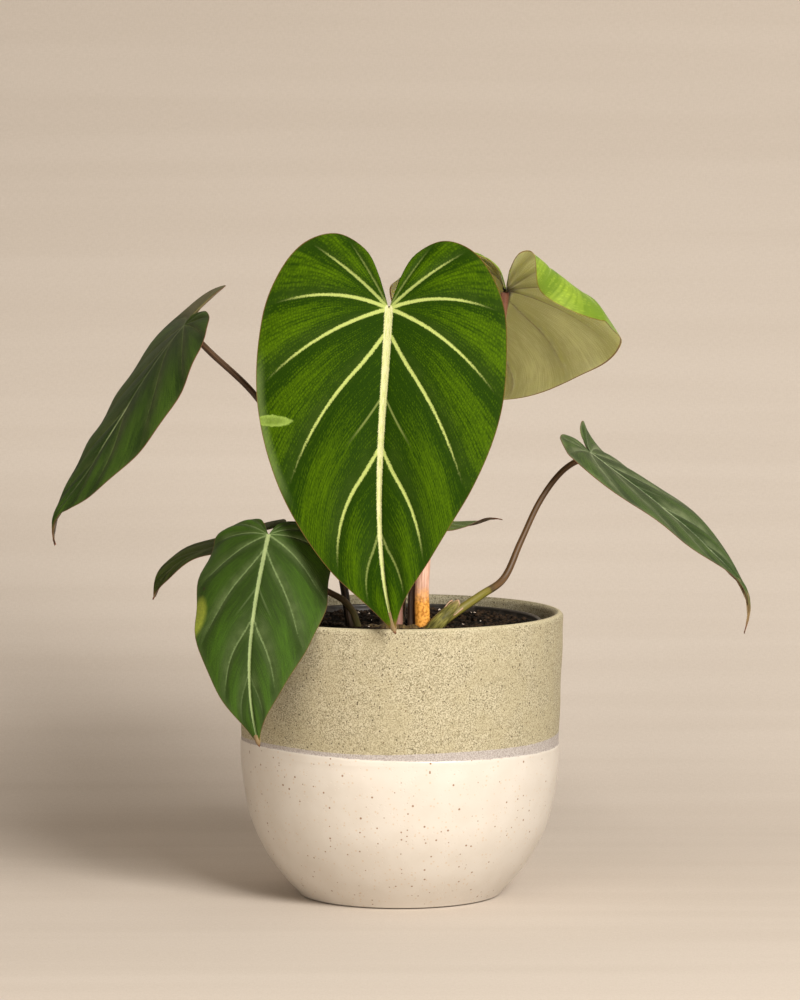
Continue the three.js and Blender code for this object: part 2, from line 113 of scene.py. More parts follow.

# The leaves, in millimetres and degrees. A midrib goes through four points from the stalk to the
# tip, and faces says where the upper side looks at each end of it. Pairs are the left and the right
# half. fold is a half's rise from the midrib and droop how far it has turned down at the margin,
# both at the stalk and at the tip; curl lifts the lobes, and roll turns down a stretch of each
# margin. ripple is the height, the number and the phase of the waves along the margin, and drip the
# end of a thread-like tip. cells counts a sector's columns and a half's rows. velvet is how much of
# the painted grey-green sheen shows, halo how much of that painted sheen lies beside the veins,
# painted_sheen_rim the stretch of one margin with a pale band of painted sheen, glow how much light comes
# through, midrib_clear the stretch of the midrib that shows clearly, and patch and spot oval marks.
LEAVES = {
    "front_large": dict(
        midrib=[(-5, -33.5, 270.5), (-8, -47.5, 221.5), (-9, -61, 172), (-2, -87, 129.5)],
        faces=[(-0.01, -0.93, 0.38), (-0.15, -0.72, 0.68)],
        width=(0.99, 0.93), fold=[(9, 9), (9, 8)], droop=[(15, 14), (15, 14)],
        curl=(-9, -11), lobe=(1.03, 0.99), ripple=(0.5, 3, 0.1), cells=(16, 46),
        dark="1b3202", bright="506e02", sheen_paint="3a4c18", vein="c6c496", lateral="a8b465", velvet=0.55,
        ribs=1.0, rib_width=(3.5, 1.7), gloss=0.02, sheen=0.0, painted_vein_sheen=0.1, painted_sheen_rim=(0, 34, 80), dry_tip=8,
        patch=dict(at=(-49.5, 54.2), size=(8.6, 2.4), light="96ac58", deep="6a842c", fray=1.4, soft=0.3,
                   heart=0.55),
        stalk=[(-1, -20.5, 118.5), (-1, -18, 141.5), (-1, -10, 191), (-2.5, -10, 237), (-4, -18, 261)],
        stalk_radius=(2.2, 1.7), stalk_foot="8a6458", stalk_top="6d4a3a",
    ),
    "left_high": dict(
        midrib=[(-97, -42, 263.5), (-116.5, -48.5, 236.5), (-135, -54.5, 206), (-156.5, -50.5, 176)],
        faces=[(-0.72, -0.18, 0.67), (-0.77, -0.46, 0.44)],
        width=(1.04, 0.93), fold=[(-7, -4), (6, 1)], droop=[(-8, 4), (46, 46)],
        curl=(-16, 38), lobe=(1.18, 0.43), ripple=(0.52, 3.74, 0.28), drip=(-154.5, -48, 165),
        cells=(11, 32),
        dark="1c300a", bright="4c6c1c", sheen_paint="5a6638", vein="b9c894", lateral="74884e", velvet=0.8,
        ribs=0.6, rib_width=(1.5, 0.7), gloss=0.1, sheen=0.03, midrib_clear=(34, 76),
        lobe_tint=(0, "6a6040"),
        stalk=[(-22, -18.5, 118), (-27, -18, 150.5), (-35.5, -14, 177), (-50, -12, 206), (-66, -16, 230.5),
               (-86, -29, 251)],
        stalk_radius=(1.9, 1.4), stalk_foot="1f170c", stalk_top="33210f",
    ),
    "left_low": dict(
        midrib=[(-59, -50, 170), (-65.5, -72.5, 133), (-66.5, -83, 104.5), (-62, -89, 79.5)],
        faces=[(-0.15, -0.78, 0.61), (-0.13, -0.96, 0.24)],
        width=(0.84, 0.86), fold=[(-6, -11), (8, 7)], droop=[(36, 42), (26, 26)],
        curl=(-43, -40), lobe=(0.57, 0.66), ripple=(1.1, 3.3, -0.07), cells=(12, 34),
        dark="22340a", bright="40640e", sheen_paint="526238", vein="a8b67e", lateral="869a66", velvet=1.0,
        ribs=0.5, rib_width=(1.9, 0.8), gloss=0.08, sheen=0.04, painted_vein_sheen=0.4,
        patch=dict(at=(-34.0, 40.5), size=(6.0, 9.5), light="a0a43c", deep="5c7020", fray=1.0, soft=1.8,
                   heart=1.0),
        spot=dict(at=(-32.5, 26.1), size=(0.8, 0.8)),
        stalk=[(-17, -20.5, 118), (-19.5, -25, 127), (-21.5, -27, 133), (-26, -30, 138.5),
               (-34, -34, 143.5), (-46, -38, 153), (-56, -42, 162)],
        stalk_radius=(1.7, 1.3), stalk_foot="4a4a24", stalk_top="6b4a3c",
    ),
    "left_behind": dict(
        midrib=[(-64, -9.5, 167.5), (-83, -6.5, 161), (-101.5, -10.5, 153), (-112.5, -11.5, 136.5)],
        faces=[(-0.42, 0.05, 0.91), (-0.92, -0.36, 0.13)],
        width=(1.05, 1.05), fold=[(4, 4), (8, 8)], droop=[(8, 8), (11, 11)],
        curl=(-95, -95), lobe=(0.42, 0.46), ripple=(0.5, 2.5, 0.4), cells=(9, 24),
        dark="28330e", bright="4e5a24", sheen_paint="565a38", vein="7b7458", lateral="63604a", velvet=0.5,
        ribs=0.3, rib_width=(1.2, 0.6), gloss=0.05, sheen=0.0,
        stalk=[(-7, -18.5, 118), (-7.5, -12, 126), (-10, -2, 140), (-23, 4, 156), (-41, 4, 160),
               (-57, -4, 162)],
        stalk_radius=(1.5, 1.1), stalk_foot="3a2c1c", stalk_top="5a3a2c",
    ),
    "right": dict(
        midrib=[(88, 13.5, 202), (112.5, 10, 183.5), (138.5, 10, 161.5), (160, 4, 137)],
        faces=[(0.55, -0.18, 0.82), (0.74, -0.29, 0.6)],
        width=(0.96, 0.86), fold=[(5, 2), (6, 20)], droop=[(8, 20), (1, 37)],
        curl=(19, 70), lobe=(0.57, 0.75), ripple=(0.8, 1.96, -0.17), drip=(157.5, 0, 119.5), cells=(11, 32),
        dark="182c06", bright="4e6c20", sheen_paint="7c8860", vein="a8b48c", lateral="8c9a74", velvet=1.0,
        ribs=0.5, rib_width=(1.3, 0.7), gloss=0.12, sheen=0.08,
        stalk=[(11, -21, 118), (14, -25, 123.5), (23, -24.5, 130.5), (36.5, -16, 138.8), (47.4, -5, 145.5),
               (55.3, 2, 161.6), (64, 7, 179.5), (72.2, 10, 191), (78.2, 12, 196.2)],
        stalk_radius=(2.3, 1.35), stalk_foot="706a22", stalk_top="47300f", stalk_change=(0.31, 0.38),
        stalk_node=0.35,
    ),
    "back": dict(
        midrib=[(49, 12, 277.5), (47, 40, 263.5), (38.5, 91, 238), (28, 140, 215)],
        faces=[(0.41, 0.29, 0.86), (0.37, 0.46, 0.8)],
        width=(1.04, 1.06), fold=[(18, 47), (-5, -11)], droop=[(6, 99), (-29, -7)],
        curl=(40, 89), lobe=(1.3, 0.49), ripple=(0.6, 3, 0), cells=(14, 44),
        roll=[dict(angle=158, at=0.29, spread=0.15, start=0.51),
              dict(angle=148, at=0.305, spread=0.13, start=0.41)],
        # This blade's colours above and below are painted paler than the others' as painted light, for the
        # light falling on it and shining through it
        dark="607c18", bright="9cb23c", sheen_paint="8f9e50", vein="d3e69a", lateral="c4d47c", velvet=0.2,
        ribs=0.7, rib_width=(3.0, 1.4), gloss=0.16, under_dark="b6ba7a", under_bright="e6ecb8", glow=0.9,
        stalk=[(5.5, -18.5, 118), (5.5, -14, 126), (6, -12, 141), (11, -4, 163), (26.5, 8, 203.5),
               (42, 12, 244), (47, 11, 264)],
        stalk_radius=(2.2, 1.6), stalk_foot="3f2c20", stalk_top="a8705c",
    ),
    "young": dict(
        midrib=[(5, 29, 173.5), (18, 28.5, 169), (29.5, 32, 167), (40.5, 24, 170.6)],
        faces=[(0.01, -0.31, 0.95), (-0.18, 0.13, 0.98)],
        width=(0.83, 0.8), fold=[(1, 6), (4, 7)], droop=[(20, 18), (22, 17)],
        curl=(1, 1), lobe=(1, 1.01), ripple=(0.4, 2.5, 0.2), drip=(47.5, 20, 170), cells=(8, 22),
        dark="36460f", bright="62742c", sheen_paint="6e7c48", vein="8a9068", lateral="7c8258", velvet=0.6,
        ribs=0.3, rib_width=(1.2, 0.6), gloss=0.16,
        stalk=[(1, -18, 118), (1, -10, 124.5), (2, 2, 144), (3, 18, 160), (3.5, 25, 167)],
        stalk_radius=(1.4, 1.1), stalk_foot="5a4a34", stalk_top="7a5a44",
    ),
}


def srgb(code):
    """The linear colour, with alpha, of a six-digit sRGB code."""
    parts = [int(code[i:i + 2], 16) / 255 for i in (0, 2, 4)]
    return (*[c / 12.92 if c <= 0.04045 else ((c + 0.055) / 1.055) ** 2.4 for c in parts], 1)


def smooth(low, high, value):
    """A soft step from 0 at low to 1 at high."""
    t = np.clip((value - low) / (high - low), 0, 1)
    return t * t * (3 - 2 * t)


# Settings


class PlantLook(bpy.types.PropertyGroup):
    """What a user of the plant would change."""

    blade_thickness: bpy.props.FloatProperty(
        name="Blade thickness", description="Thickness of a blade between its veins",
        default=0.0005, min=0.0002, max=0.001, unit="LENGTH")
    quilting: bpy.props.FloatProperty(
        name="Quilting", description="Rise of a blade between its veins, as a share of its length",
        default=0.010, min=0, max=0.03)
    stalk_sides: bpy.props.IntProperty(
        name="Stalk sides", description="Sides of a stalk's section", default=28, min=8, max=64)
    clay: bpy.props.FloatVectorProperty(
        name="Clay", description="Colour of the raw clay", subtype="COLOR", size=4, default=srgb("a49a7a"))
    glaze: bpy.props.FloatVectorProperty(
        name="Glaze", description="Colour of the glaze", subtype="COLOR", size=4, default=srgb("c9c1b6"))
    glaze_top: bpy.props.FloatProperty(
        name="Glaze height", description="Height of the glaze's edge above the floor",
        default=0.0715, min=0, unit="LENGTH")
    soil_bits: bpy.props.IntProperty(
        name="Soil bits", description="Loose bits on the soil", default=1500, min=0, max=4000)
    seed: bpy.props.IntProperty(name="Seed", description="Seed of every random draw", default=7, min=0)


class StageLook(bpy.types.PropertyGroup):
    """The floor, the light and the camera."""

    paper: bpy.props.FloatVectorProperty(
        name="Paper", description="Colour of floor and backdrop", subtype="COLOR", size=4,
        default=srgb("d0c6bb"))
    key_power: bpy.props.FloatProperty(
        name="Key light", description="Power of the key light", default=68, min=0, unit="POWER")
    fill_power: bpy.props.FloatProperty(
        name="Fill light", description="Power of the fill light", default=5.0, min=0, unit="POWER")
    top_power: bpy.props.FloatProperty(
        name="Top light", description="Power of the overhead light", default=3.5, min=0, unit="POWER")
    camera_distance: bpy.props.FloatProperty(
        name="Camera distance", description="Distance in front of the pot's axis", default=2.2, unit="LENGTH")
    camera_height: bpy.props.FloatProperty(
        name="Camera height", description="Height above the floor", default=0.377, unit="LENGTH")
    camera_pitch: bpy.props.FloatProperty(
        name="Camera pitch", description="How far the camera looks down", default=math.radians(5.088),
        subtype="ANGLE")
    camera_lens: bpy.props.FloatProperty(
        name="Lens", description="Focal length in millimetres", default=173.7, min=10)


# Mesh tools


def add_piece(name, places, faces, materials, node, shades=None, values=None):
    """Makes a mesh in millimetres, rides it on the plant and lets it stand for its CAD node."""
    mesh = bpy.data.meshes.new(name)
    mesh.from_pydata((np.asarray(places) * MM).tolist(), [], [list(map(int, f)) for f in faces])
    for material in materials:
        mesh.materials.append(material)
    if shades is not None:
        mesh.polygons.foreach_set("material_index", np.asarray(shades, dtype=np.int32))
    mesh.polygons.foreach_set("use_smooth", np.ones(len(mesh.polygons), dtype=bool))
    for key, numbers in (values or {}).items():
        mesh.attributes.new(key, "FLOAT", "POINT").data.foreach_set("value", np.asarray(numbers, np.float32))
    mesh.validate()
    mesh.update()
    piece = bpy.data.objects.new(name, mesh)
    bpy.context.scene.collection.objects.link(piece)
    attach(piece, "root")
    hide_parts(node)


def ring_faces(rings, sides):
    """Quads between rings of the same number of places, one after another."""
    i, j = np.meshgrid(np.arange(rings - 1), np.arange(sides), indexing="ij")
    a = (i * sides + j).ravel()
    b = (i * sides + (j + 1) % sides).ravel()
    return np.stack([a, b, b + sides, a + sides], 1)


def turned(profile, sides):
    """Places and faces of a surface of revolution about +Z; the first and last places lie on the axis."""
    profile = np.asarray(profile, float)
    angles = np.arange(sides) * TAU / sides
    inner = profile[1:-1]
    rings = np.stack([
        inner[:, :1] * np.cos(angles), inner[:, :1] * np.sin(angles), np.repeat(inner[:, 1:], sides, 1)], -1)
    places = np.concatenate([rings.reshape(-1, 3), [[0, 0, profile[0, 1]], [0, 0, profile[-1, 1]]]])
    faces = ring_faces(len(inner), sides).tolist()
    low, high = len(places) - 2, len(places) - 1
    last = (len(inner) - 1) * sides
    for j in range(sides):
        k = (j + 1) % sides
        faces.append((low, k, j))
        faces.append((high, last + j, last + k))
    return places, faces


def bezier(points, t):
    """Places on a cubic Bezier curve with these four control points."""
    p = np.asarray(points, float)
    t = np.asarray(t, float)[..., None]
    return p[0] * (1 - t) ** 3 + 3 * p[1] * t * (1 - t) ** 2 + 3 * p[2] * t * t * (1 - t) + p[3] * t ** 3


def bezier_direction(points, t):
    """Unit tangents of the same curve."""
    p = np.asarray(points, float)
    t = np.asarray(t, float)[..., None]
    d = (p[1] - p[0]) * (1 - t) ** 2 + 2 * (p[2] - p[1]) * t * (1 - t) + (p[3] - p[2]) * t * t
    return d / np.linalg.norm(d, axis=-1, keepdims=True)


def through(points):
    """Control points of the cubic through four places a third of its parameter apart."""
    a, b, c, d = np.asarray(points, float)
    return np.array([a, (-5 * a + 18 * b - 9 * c + 2 * d) / 6, (2 * a - 9 * b + 18 * c - 5 * d) / 6, d])


def spline(points, count):
    """Evenly spaced places on the centripetal curve through the points."""
    p = np.asarray(points, float)
    p = np.concatenate([[2 * p[0] - p[1]], p, [2 * p[-1] - p[-2]]])
    knots = np.concatenate([[0], np.cumsum(np.linalg.norm(np.diff(p, axis=0), axis=1) ** 0.5)])
    dense = []
    for i in range(1, len(p) - 2):
        t0, t1, t2, t3 = knots[i - 1:i + 3]
        t = np.linspace(t1, t2, 40, endpoint=i == len(p) - 3)[:, None]
        a1 = (t1 - t) / (t1 - t0) * p[i - 1] + (t - t0) / (t1 - t0) * p[i]
        a2 = (t2 - t) / (t2 - t1) * p[i] + (t - t1) / (t2 - t1) * p[i + 1]
        a3 = (t3 - t) / (t3 - t2) * p[i + 1] + (t - t2) / (t3 - t2) * p[i + 2]
        b1 = (t2 - t) / (t2 - t0) * a1 + (t - t0) / (t2 - t0) * a2
        b2 = (t3 - t) / (t3 - t1) * a2 + (t - t1) / (t3 - t1) * a3
        dense.append((t2 - t) / (t2 - t1) * b1 + (t - t1) / (t2 - t1) * b2)
    dense = np.concatenate(dense)
    run = np.concatenate([[0], np.cumsum(np.linalg.norm(np.diff(dense, axis=0), axis=1))])
    even = np.linspace(0, run[-1], count)
    return np.stack([np.interp(even, run, dense[:, k]) for k in range(3)], 1), run[-1]


def swept(line, offsets):
    """Places round a line: offsets holds, for each place on it, the ring's (across, outwards) pairs."""
    tangent = np.gradient(line, axis=0)
    tangent /= np.linalg.norm(tangent, axis=1, keepdims=True)
    side = np.cross(tangent[0], (0, 0, 1))
    if np.linalg.norm(side) < 0.2:
        side = np.array((1.0, 0, 0))
    places = []
    for here, along, ring in zip(line, tangent, offsets):
        side = side - along * side.dot(along)
        side /= np.linalg.norm(side)
        out = np.cross(side, along)
        places.append(here + ring[:, :1] * side + ring[:, 1:] * out)
    return np.concatenate(places)


def capped(rings, sides):
    """Faces of a closed tube with flat ends."""
    last = (rings - 1) * sides
    faces = [tuple(f) for f in ring_faces(rings, sides)]
    faces.append(tuple(range(sides - 1, -1, -1)))
    faces.append(tuple(range(last, last + sides)))
    return faces


# Shader tools


class Graph:
    """Adds nodes to a tree and fills or links their sockets."""

    def __init__(self, tree):
        self.tree = tree

    def add(self, kind, inputs=None, **settings):
        node = self.tree.nodes.new("ShaderNode" + kind)
        for key, value in settings.items():
            setattr(node, key, value)
        for key, value in (inputs or {}).items():
            self.put(node.inputs[key], value)
        return node

    def put(self, socket, value):
        if isinstance(value, bpy.types.NodeSocket):
            self.tree.links.new(value, socket)
        else:
            socket.default_value = value

    def math(self, operation, *values, clamp=False):
        return self.add("Math", dict(enumerate(values)), operation=operation, use_clamp=clamp).outputs[0]

    def mix(self, share, a, b):
        return self.add("Mix", {0: share, 6: a, 7: b}, data_type="RGBA").outputs[2]

    def step(self, value, low, high, to_low=0.0, to_high=1.0):
        node = self.add("MapRange", {0: value, 1: low, 2: high, 3: to_low, 4: to_high},
                        interpolation_type="SMOOTHSTEP")
        return node.outputs[0]

    def noise(self, where, scale, detail=2.0, roughness=0.5):
        values = {"Vector": where, "Scale": scale, "Detail": detail, "Roughness": roughness}
        return self.add("TexNoise", values).outputs[0]

    def value(self, name):
        return self.add("Attribute", attribute_name=name).outputs["Fac"]

    def place(self):
        """Object coordinates in millimetres."""
        source = self.add("TexCoord").outputs["Object"]
        return self.add("VectorMath", {0: source, 3: 1 / MM}, operation="SCALE").outputs[0]

    def join(self, x, y=0.0, z=0.0):
        return self.add("CombineXYZ", {0: x, 1: y, 2: z}).outputs[0]

    def scaled(self, value, share):
        return self.math("MULTIPLY", value, share)

    def around(self, value, middle=0.5):
        return self.math("SUBTRACT", value, middle)

    def group(self, name, **inputs):
        node = self.add("Group", node_tree=bpy.data.node_groups[name])
        for key, value in inputs.items():
            self.put(node.inputs[key.replace("_", " ")], value)
        return node.outputs


def new_group(name, inputs, outputs):
    """An empty shader node group with float, colour and vector sockets, its graph and its two ends."""
    tree = bpy.data.node_groups.new(name, "ShaderNodeTree")
    kinds = {"value": "NodeSocketFloat", "colour": "NodeSocketColor", "vector": "NodeSocketVector"}
    for label, kind, default in inputs:
        socket = tree.interface.new_socket(name=label, in_out="INPUT", socket_type=kinds[kind])
        if default is not None:
            socket.default_value = default
    for label, kind in outputs:
        tree.interface.new_socket(name=label, in_out="OUTPUT", socket_type=kinds[kind])
    graph = Graph(tree)
    start = tree.nodes.new("NodeGroupInput")
    end = tree.nodes.new("NodeGroupOutput")
    return graph, start.outputs, end.inputs


def build_ragged_line():
    """A soft mask inside a signed distance in millimetres, its edge frayed by noise."""
    g, source, out = new_group(
        "ragged line",
        [("Where", "vector", None), ("Distance", "value", 0.0), ("Fray", "value", 0.2),
         ("Fray scale", "value", 1.0), ("Softness", "value", 0.15)],
        [("Mask", "value")])
    fray = g.noise(source["Where"], source["Fray scale"], 3, 0.65)
    moved = g.math("MULTIPLY_ADD", g.around(fray), source["Fray"], source["Distance"])
    inner = g.scaled(source["Softness"], -1.0)
    g.put(out["Mask"], g.step(moved, inner, source["Softness"], 1.0, 0.0))


def build_specks():
    """Scattered specks: a mask that is 1 inside each of the cells that hold one."""
    g, source, out = new_group(
        "specks",
        [("Where", "vector", None), ("Scale", "value", 1.0), ("Share", "value", 0.3), ("Size", "value", 0.3)],
        [("Mask", "value")])
    cells = g.add("TexVoronoi", {"Vector": source["Where"], "Scale": source["Scale"]}, feature="F1")
    parts = g.add("SeparateColor", {0: cells.outputs["Color"]}).outputs
    size = g.math("MULTIPLY", source["Size"], g.step(parts[1], 0.0, 1.0, 0.45, 1.0))
    held = g.math("LESS_THAN", parts[0], source["Share"])
    dot = g.step(cells.outputs["Distance"], g.scaled(size, 0.6), size, 1.0, 0.0)
    g.put(out["Mask"], g.math("MULTIPLY", dot, held))


def build_barbed_vein():
    """A soft mask inside a signed distance in millimetres, with fine barbs that slant off its edge."""
    g, source, out = new_group(
        "barbed vein",
        [("Where", "vector", None), ("Distance", "value", 0.0), ("Run", "value", 0.0),
         ("Barbs", "value", 4.0), ("Softness", "value", 0.18)],
        [("Mask", "value")])
    comb = g.noise(g.join(g.scaled(source["Run"], 1.7)), 1.0, 2, 0.6)
    spike = g.math("MAXIMUM", g.around(comb), 0.0)
    moved = g.math("MULTIPLY_ADD", spike, g.scaled(source["Barbs"], -1.0), source["Distance"])
    fray = g.around(g.noise(source["Where"], 1.1, 2, 0.6))
    moved = g.math("MULTIPLY_ADD", fray, 0.7, moved)
    inner = g.scaled(source["Softness"], -1.0)
    g.put(out["Mask"], g.step(moved, inner, source["Softness"], 1.0, 0.0))


def build_leaf_tissue():
    """The green of a blade: painted light on its ridges and painted shade in its hollows, fine streaks beside
    the veins and a net.
    """
    g, source, out = new_group(
        "leaf tissue",
        [("Dark", "colour", srgb("243a04")), ("Bright", "colour", srgb("6c8404")),
         ("Seed", "value", 0.0), ("Net", "value", 1.0)],
        [("Colour", "colour"), ("Height", "value")])
    streak, run, seed = g.value("streak"), g.value("run"), source["Seed"]
    clear = g.step(g.value("spacing"), 0.2, 0.7)

    def along_veins(across, onwards):
        return g.join(g.scaled(streak, across), g.scaled(run, onwards), seed)

    sway = g.noise(along_veins(0.2, 0.09), 1.0, 1)
    line = g.math("PINGPONG", g.math("MULTIPLY_ADD", g.around(sway), 1.6, streak), 0.5)
    line = g.math("MULTIPLY", g.step(line, 0.04, 0.3, 1.0, 0.0), clear)
    bands = g.noise(along_veins(0.36, 0.05), 1.0, 3, 0.6)
    fine = g.noise(along_veins(0.9, 0.14), 1.0, 2, 0.6)
    cells = g.add("TexVoronoi", {"Vector": along_veins(1.0, 1.25), "Scale": 1.15, "Randomness": 0.55},
                  feature="DISTANCE_TO_EDGE", voronoi_dimensions="3D")
    net = g.math("MULTIPLY", g.step(cells.outputs["Distance"], 0.02, 0.3, 1.0, 0.0), clear)
    # Painted light on the ridges between the veins and painted shade in the hollows beside them, under random
    # bands of tone
    light = g.math("MULTIPLY_ADD", g.around(bands), 0.7, g.value("painted_ridge_light"))
    light = g.math("MULTIPLY_ADD", g.math("MULTIPLY", g.around(fine), clear), 0.8, light)
    light = g.math("MULTIPLY_ADD", g.math("MULTIPLY", line, source["Net"]), -0.16, light)
    light = g.math("MULTIPLY_ADD", g.math("MULTIPLY", net, source["Net"]), -0.3, light, clamp=True)
    g.put(out["Colour"], g.mix(light, source["Dark"], source["Bright"]))
    g.put(out["Height"], g.math("SUBTRACT", 1.0, g.math("MAXIMUM", net, line)))


def build_oval_mark():
    """Distance in millimetres from the border of an oval on the flat blade, negative inside it."""
    g, source, out = new_group(
        "oval mark",
        [("X", "value", 0.0), ("Y", "value", 0.0), ("Wide", "value", 1.0), ("High", "value", 1.0)],
        [("Distance", "value")])
    across = g.math("DIVIDE", g.around(g.value("flat_x"), source["X"]), source["Wide"])
    along = g.math("DIVIDE", g.around(g.value("flat_y"), source["Y"]), source["High"])
    away = g.add("VectorMath", {0: g.join(across, along)}, operation="LENGTH").outputs["Value"]
    short = g.math("MINIMUM", source["Wide"], source["High"])
    g.put(out["Distance"], g.math("MULTIPLY", g.around(away, 1.0), short))


def build_fuzz():
    """A very fine grain for velvet."""
    g, source, out = new_group(
        "fuzz", [("Where", "vector", None), ("Scale", "value", 4.0)], [("Grain", "value")])
    coarse = g.noise(source["Where"], source["Scale"], 2, 0.7)
    fine = g.noise(source["Where"], g.scaled(source["Scale"], 3.1), 1, 0.6)
    g.put(out["Grain"], g.math("MULTIPLY_ADD", fine, 0.5, g.scaled(coarse, 0.5)))


def new_material(name, **sockets):
    """A material with one Principled BSDF, its fixed sockets set here, and its graph."""
    material = bpy.data.materials.new(name)
    material.use_nodes = True
    graph = Graph(material.node_tree)
    bsdf = next(n for n in material.node_tree.nodes if n.type == "BSDF_PRINCIPLED")
    for key, value in sockets.items():
        bsdf.inputs[key.replace("_", " ")].default_value = value
    return material, graph, bsdf.inputs


def bump(graph, height, distance, strength=1.0, normal=None):
    """A bump of that many millimetres."""
    values = {"Height": height, "Distance": distance * MM, "Strength": strength}
    if normal is not None:
        values["Normal"] = normal
    return graph.add("Bump", values).outputs[0]


def with_painted_sheen(g, colour, leaf, where):
    """Painted grey-green velvet sheen before the veins, beside them and along the margin, thinner towards the
    tip.
    """
    velvet = leaf["velvet"]
    # The velvet's sheen is painted into the colour here as painted light: on the slope before each vein,
    # beside the veins and along the margin
    before_veins = g.scaled(g.value("shoulder"), 0.62 * velvet)
    painted_vein_sheen = g.step(g.value("rib"), 0.2, 3.4, leaf.get("painted_vein_sheen", 0.3), 0.0)
    painted_vein_sheen = g.math("MULTIPLY", painted_vein_sheen, g.value("rib_shows"))
    rim = g.step(g.value("margin"), 0.0, 6.0, 0.35 * velvet, 0.0)
    cloud = g.step(g.noise(where, 0.16, 3, 0.6), 0.3, 0.7, 0.45, 1.2)
    # The painted sheen, patchy and fading towards the tip
    dust_and_painted_sheen = g.math("MAXIMUM", g.math("MAXIMUM", before_veins, painted_vein_sheen), rim)
    dust_and_painted_sheen = g.math("MULTIPLY", dust_and_painted_sheen, cloud, clamp=True)
    dust_and_painted_sheen = g.math("MULTIPLY", dust_and_painted_sheen, g.step(g.value("to_tip"), 5.0, 70.0, 0.5, 1.0))
    colour = g.mix(dust_and_painted_sheen, colour, srgb(leaf["sheen_paint"]))
    # A pale band of painted sheen along a stretch of one margin
    band = g.math("MULTIPLY", g.step(g.value("margin"), 1.0, 7.0, 0.35, 0.0), g.value("painted_sheen_rim"))
    return g.mix(band, colour, srgb("84985a"))


def with_veins(g, colour, leaf, where, seed):
    """Faint, lateral and middle veins; the middle one is greener in streaks and towards the tip."""
    lateral = srgb(leaf["lateral"])
    faint = g.step(g.math("ABSOLUTE", g.value("faint")), 0.1, 0.75, 0.35 * leaf["ribs"], 0.0)
    colour = g.mix(g.math("MULTIPLY", faint, g.value("faint_shows")), colour, lateral)
    rib = g.group("barbed vein", Where=where, Distance=g.value("rib"), Run=g.value("rib_run"), Barbs=2.0,
                  Softness=0.3)["Mask"]
    rib = g.math("MULTIPLY", rib, g.scaled(g.value("rib_shows"), leaf["ribs"]))
    colour = g.mix(rib, colour, lateral)
    middle = g.group("barbed vein", Where=where, Distance=g.value("midrib"), Run=g.value("midrib_run"),
                     Barbs=2.4, Softness=0.34)["Mask"]
    shows = g.scaled(g.value("midrib_shows"), min(1, 0.3 + leaf["ribs"]))
    middle = g.math("MULTIPLY", middle, shows)
    towards_tip = g.step(g.value("to_tip"), 6.0, 70.0, 0.7, 0.0)
    core = g.noise(g.join(g.scaled(g.value("midrib"), 2.4), g.scaled(g.value("midrib_run"), 0.16), seed),
                   1.0, 2, 0.6)
    greener = g.math("MAXIMUM", towards_tip, g.step(core, 0.4, 0.66, 0.0, 0.8))
    return g.mix(middle, colour, g.mix(greener, srgb(leaf["vein"]), lateral))


def oval_distance(g, mark):
    """Distance from the border of an oval mark on the flat blade."""
    (x, y), (wide, high) = mark["at"], mark["size"]
    return g.group("oval mark", X=x, Y=y, Wide=wide, High=high)["Distance"]


def with_marks(g, colour, leaf, where):
    """A browner lobe, a pale patch and a dark spot, where the leaf has them."""
    if "lobe_tint" in leaf:
        colour = g.mix(g.scaled(g.value("lobe"), 0.75), colour, srgb(leaf["lobe_tint"][1]))
    if "patch" in leaf:
        mark = leaf["patch"]
        oval = oval_distance(g, mark)
        patch = g.group("ragged line", Where=where, Distance=oval, Fray=mark["fray"], Fray_scale=0.5,
                        Softness=mark["soft"])["Mask"]
        heart = g.step(oval, -1.6, -0.2, mark["heart"], 1.0)
        mottled = g.mix(g.noise(where, 0.9, 3), srgb(mark["light"]), srgb(mark["deep"]))
        colour = g.mix(g.math("MULTIPLY", patch, heart), colour, mottled)
    if "spot" in leaf:
        colour = g.mix(g.step(oval_distance(g, leaf["spot"]), -0.4, 0.5, 0.8, 0.0), colour, srgb("2a2012"))
    return colour


def leaf_top_material(name, leaf, seed):
    """Velvety upper side with pale barbed veins, painted grey-green sheen and a thin red-brown margin."""
    material, g, bsdf = new_material(
        "leaf_top_" + name, Sheen_Weight=leaf.get("sheen", 0.18), Sheen_Roughness=0.42,
        Sheen_Tint=srgb("dfe8d2"), Specular_IOR_Level=leaf["gloss"], Subsurface_Weight=leaf.get("glow", 0.0),
        Subsurface_Scale=BLADE_GLOW_DEPTH, Subsurface_Radius=BLADE_GLOW_COLOURS)
    where = g.place()
    tissue = g.group("leaf tissue", Dark=srgb(leaf["dark"]), Bright=srgb(leaf["bright"]), Seed=seed, Net=1.0)
    colour = with_painted_sheen(g, tissue["Colour"], leaf, where)
    colour = with_veins(g, colour, leaf, where, seed)
    colour = with_marks(g, colour, leaf, where)
    colour = g.mix(g.step(g.value("margin"), 0.2, 0.7, 0.7, 0.0), colour, srgb("6d4b2c"))
    dry = g.step(g.value("to_tip"), 2.0, leaf.get("dry_tip", 5.0), 0.85, 0.0)
    colour = g.mix(dry, colour, srgb("7d5c34"))
    fuzz = g.group("fuzz", Where=where, Scale=3.2)["Grain"]
    # The velvet's fine grain is also painted towards the sheen colour, as a speckle of painted sheen
    g.put(bsdf["Base Color"], g.mix(g.scaled(fuzz, 0.16 * leaf["velvet"]), colour, srgb(leaf["sheen_paint"])))
    g.put(bsdf["Roughness"], g.step(fuzz, 0.2, 0.8, 0.52, 0.68))
    relief = bump(g, tissue["Height"], 0.07, 0.8)
    g.put(bsdf["Normal"], bump(g, fuzz, 0.05, 0.6, relief))
    return material


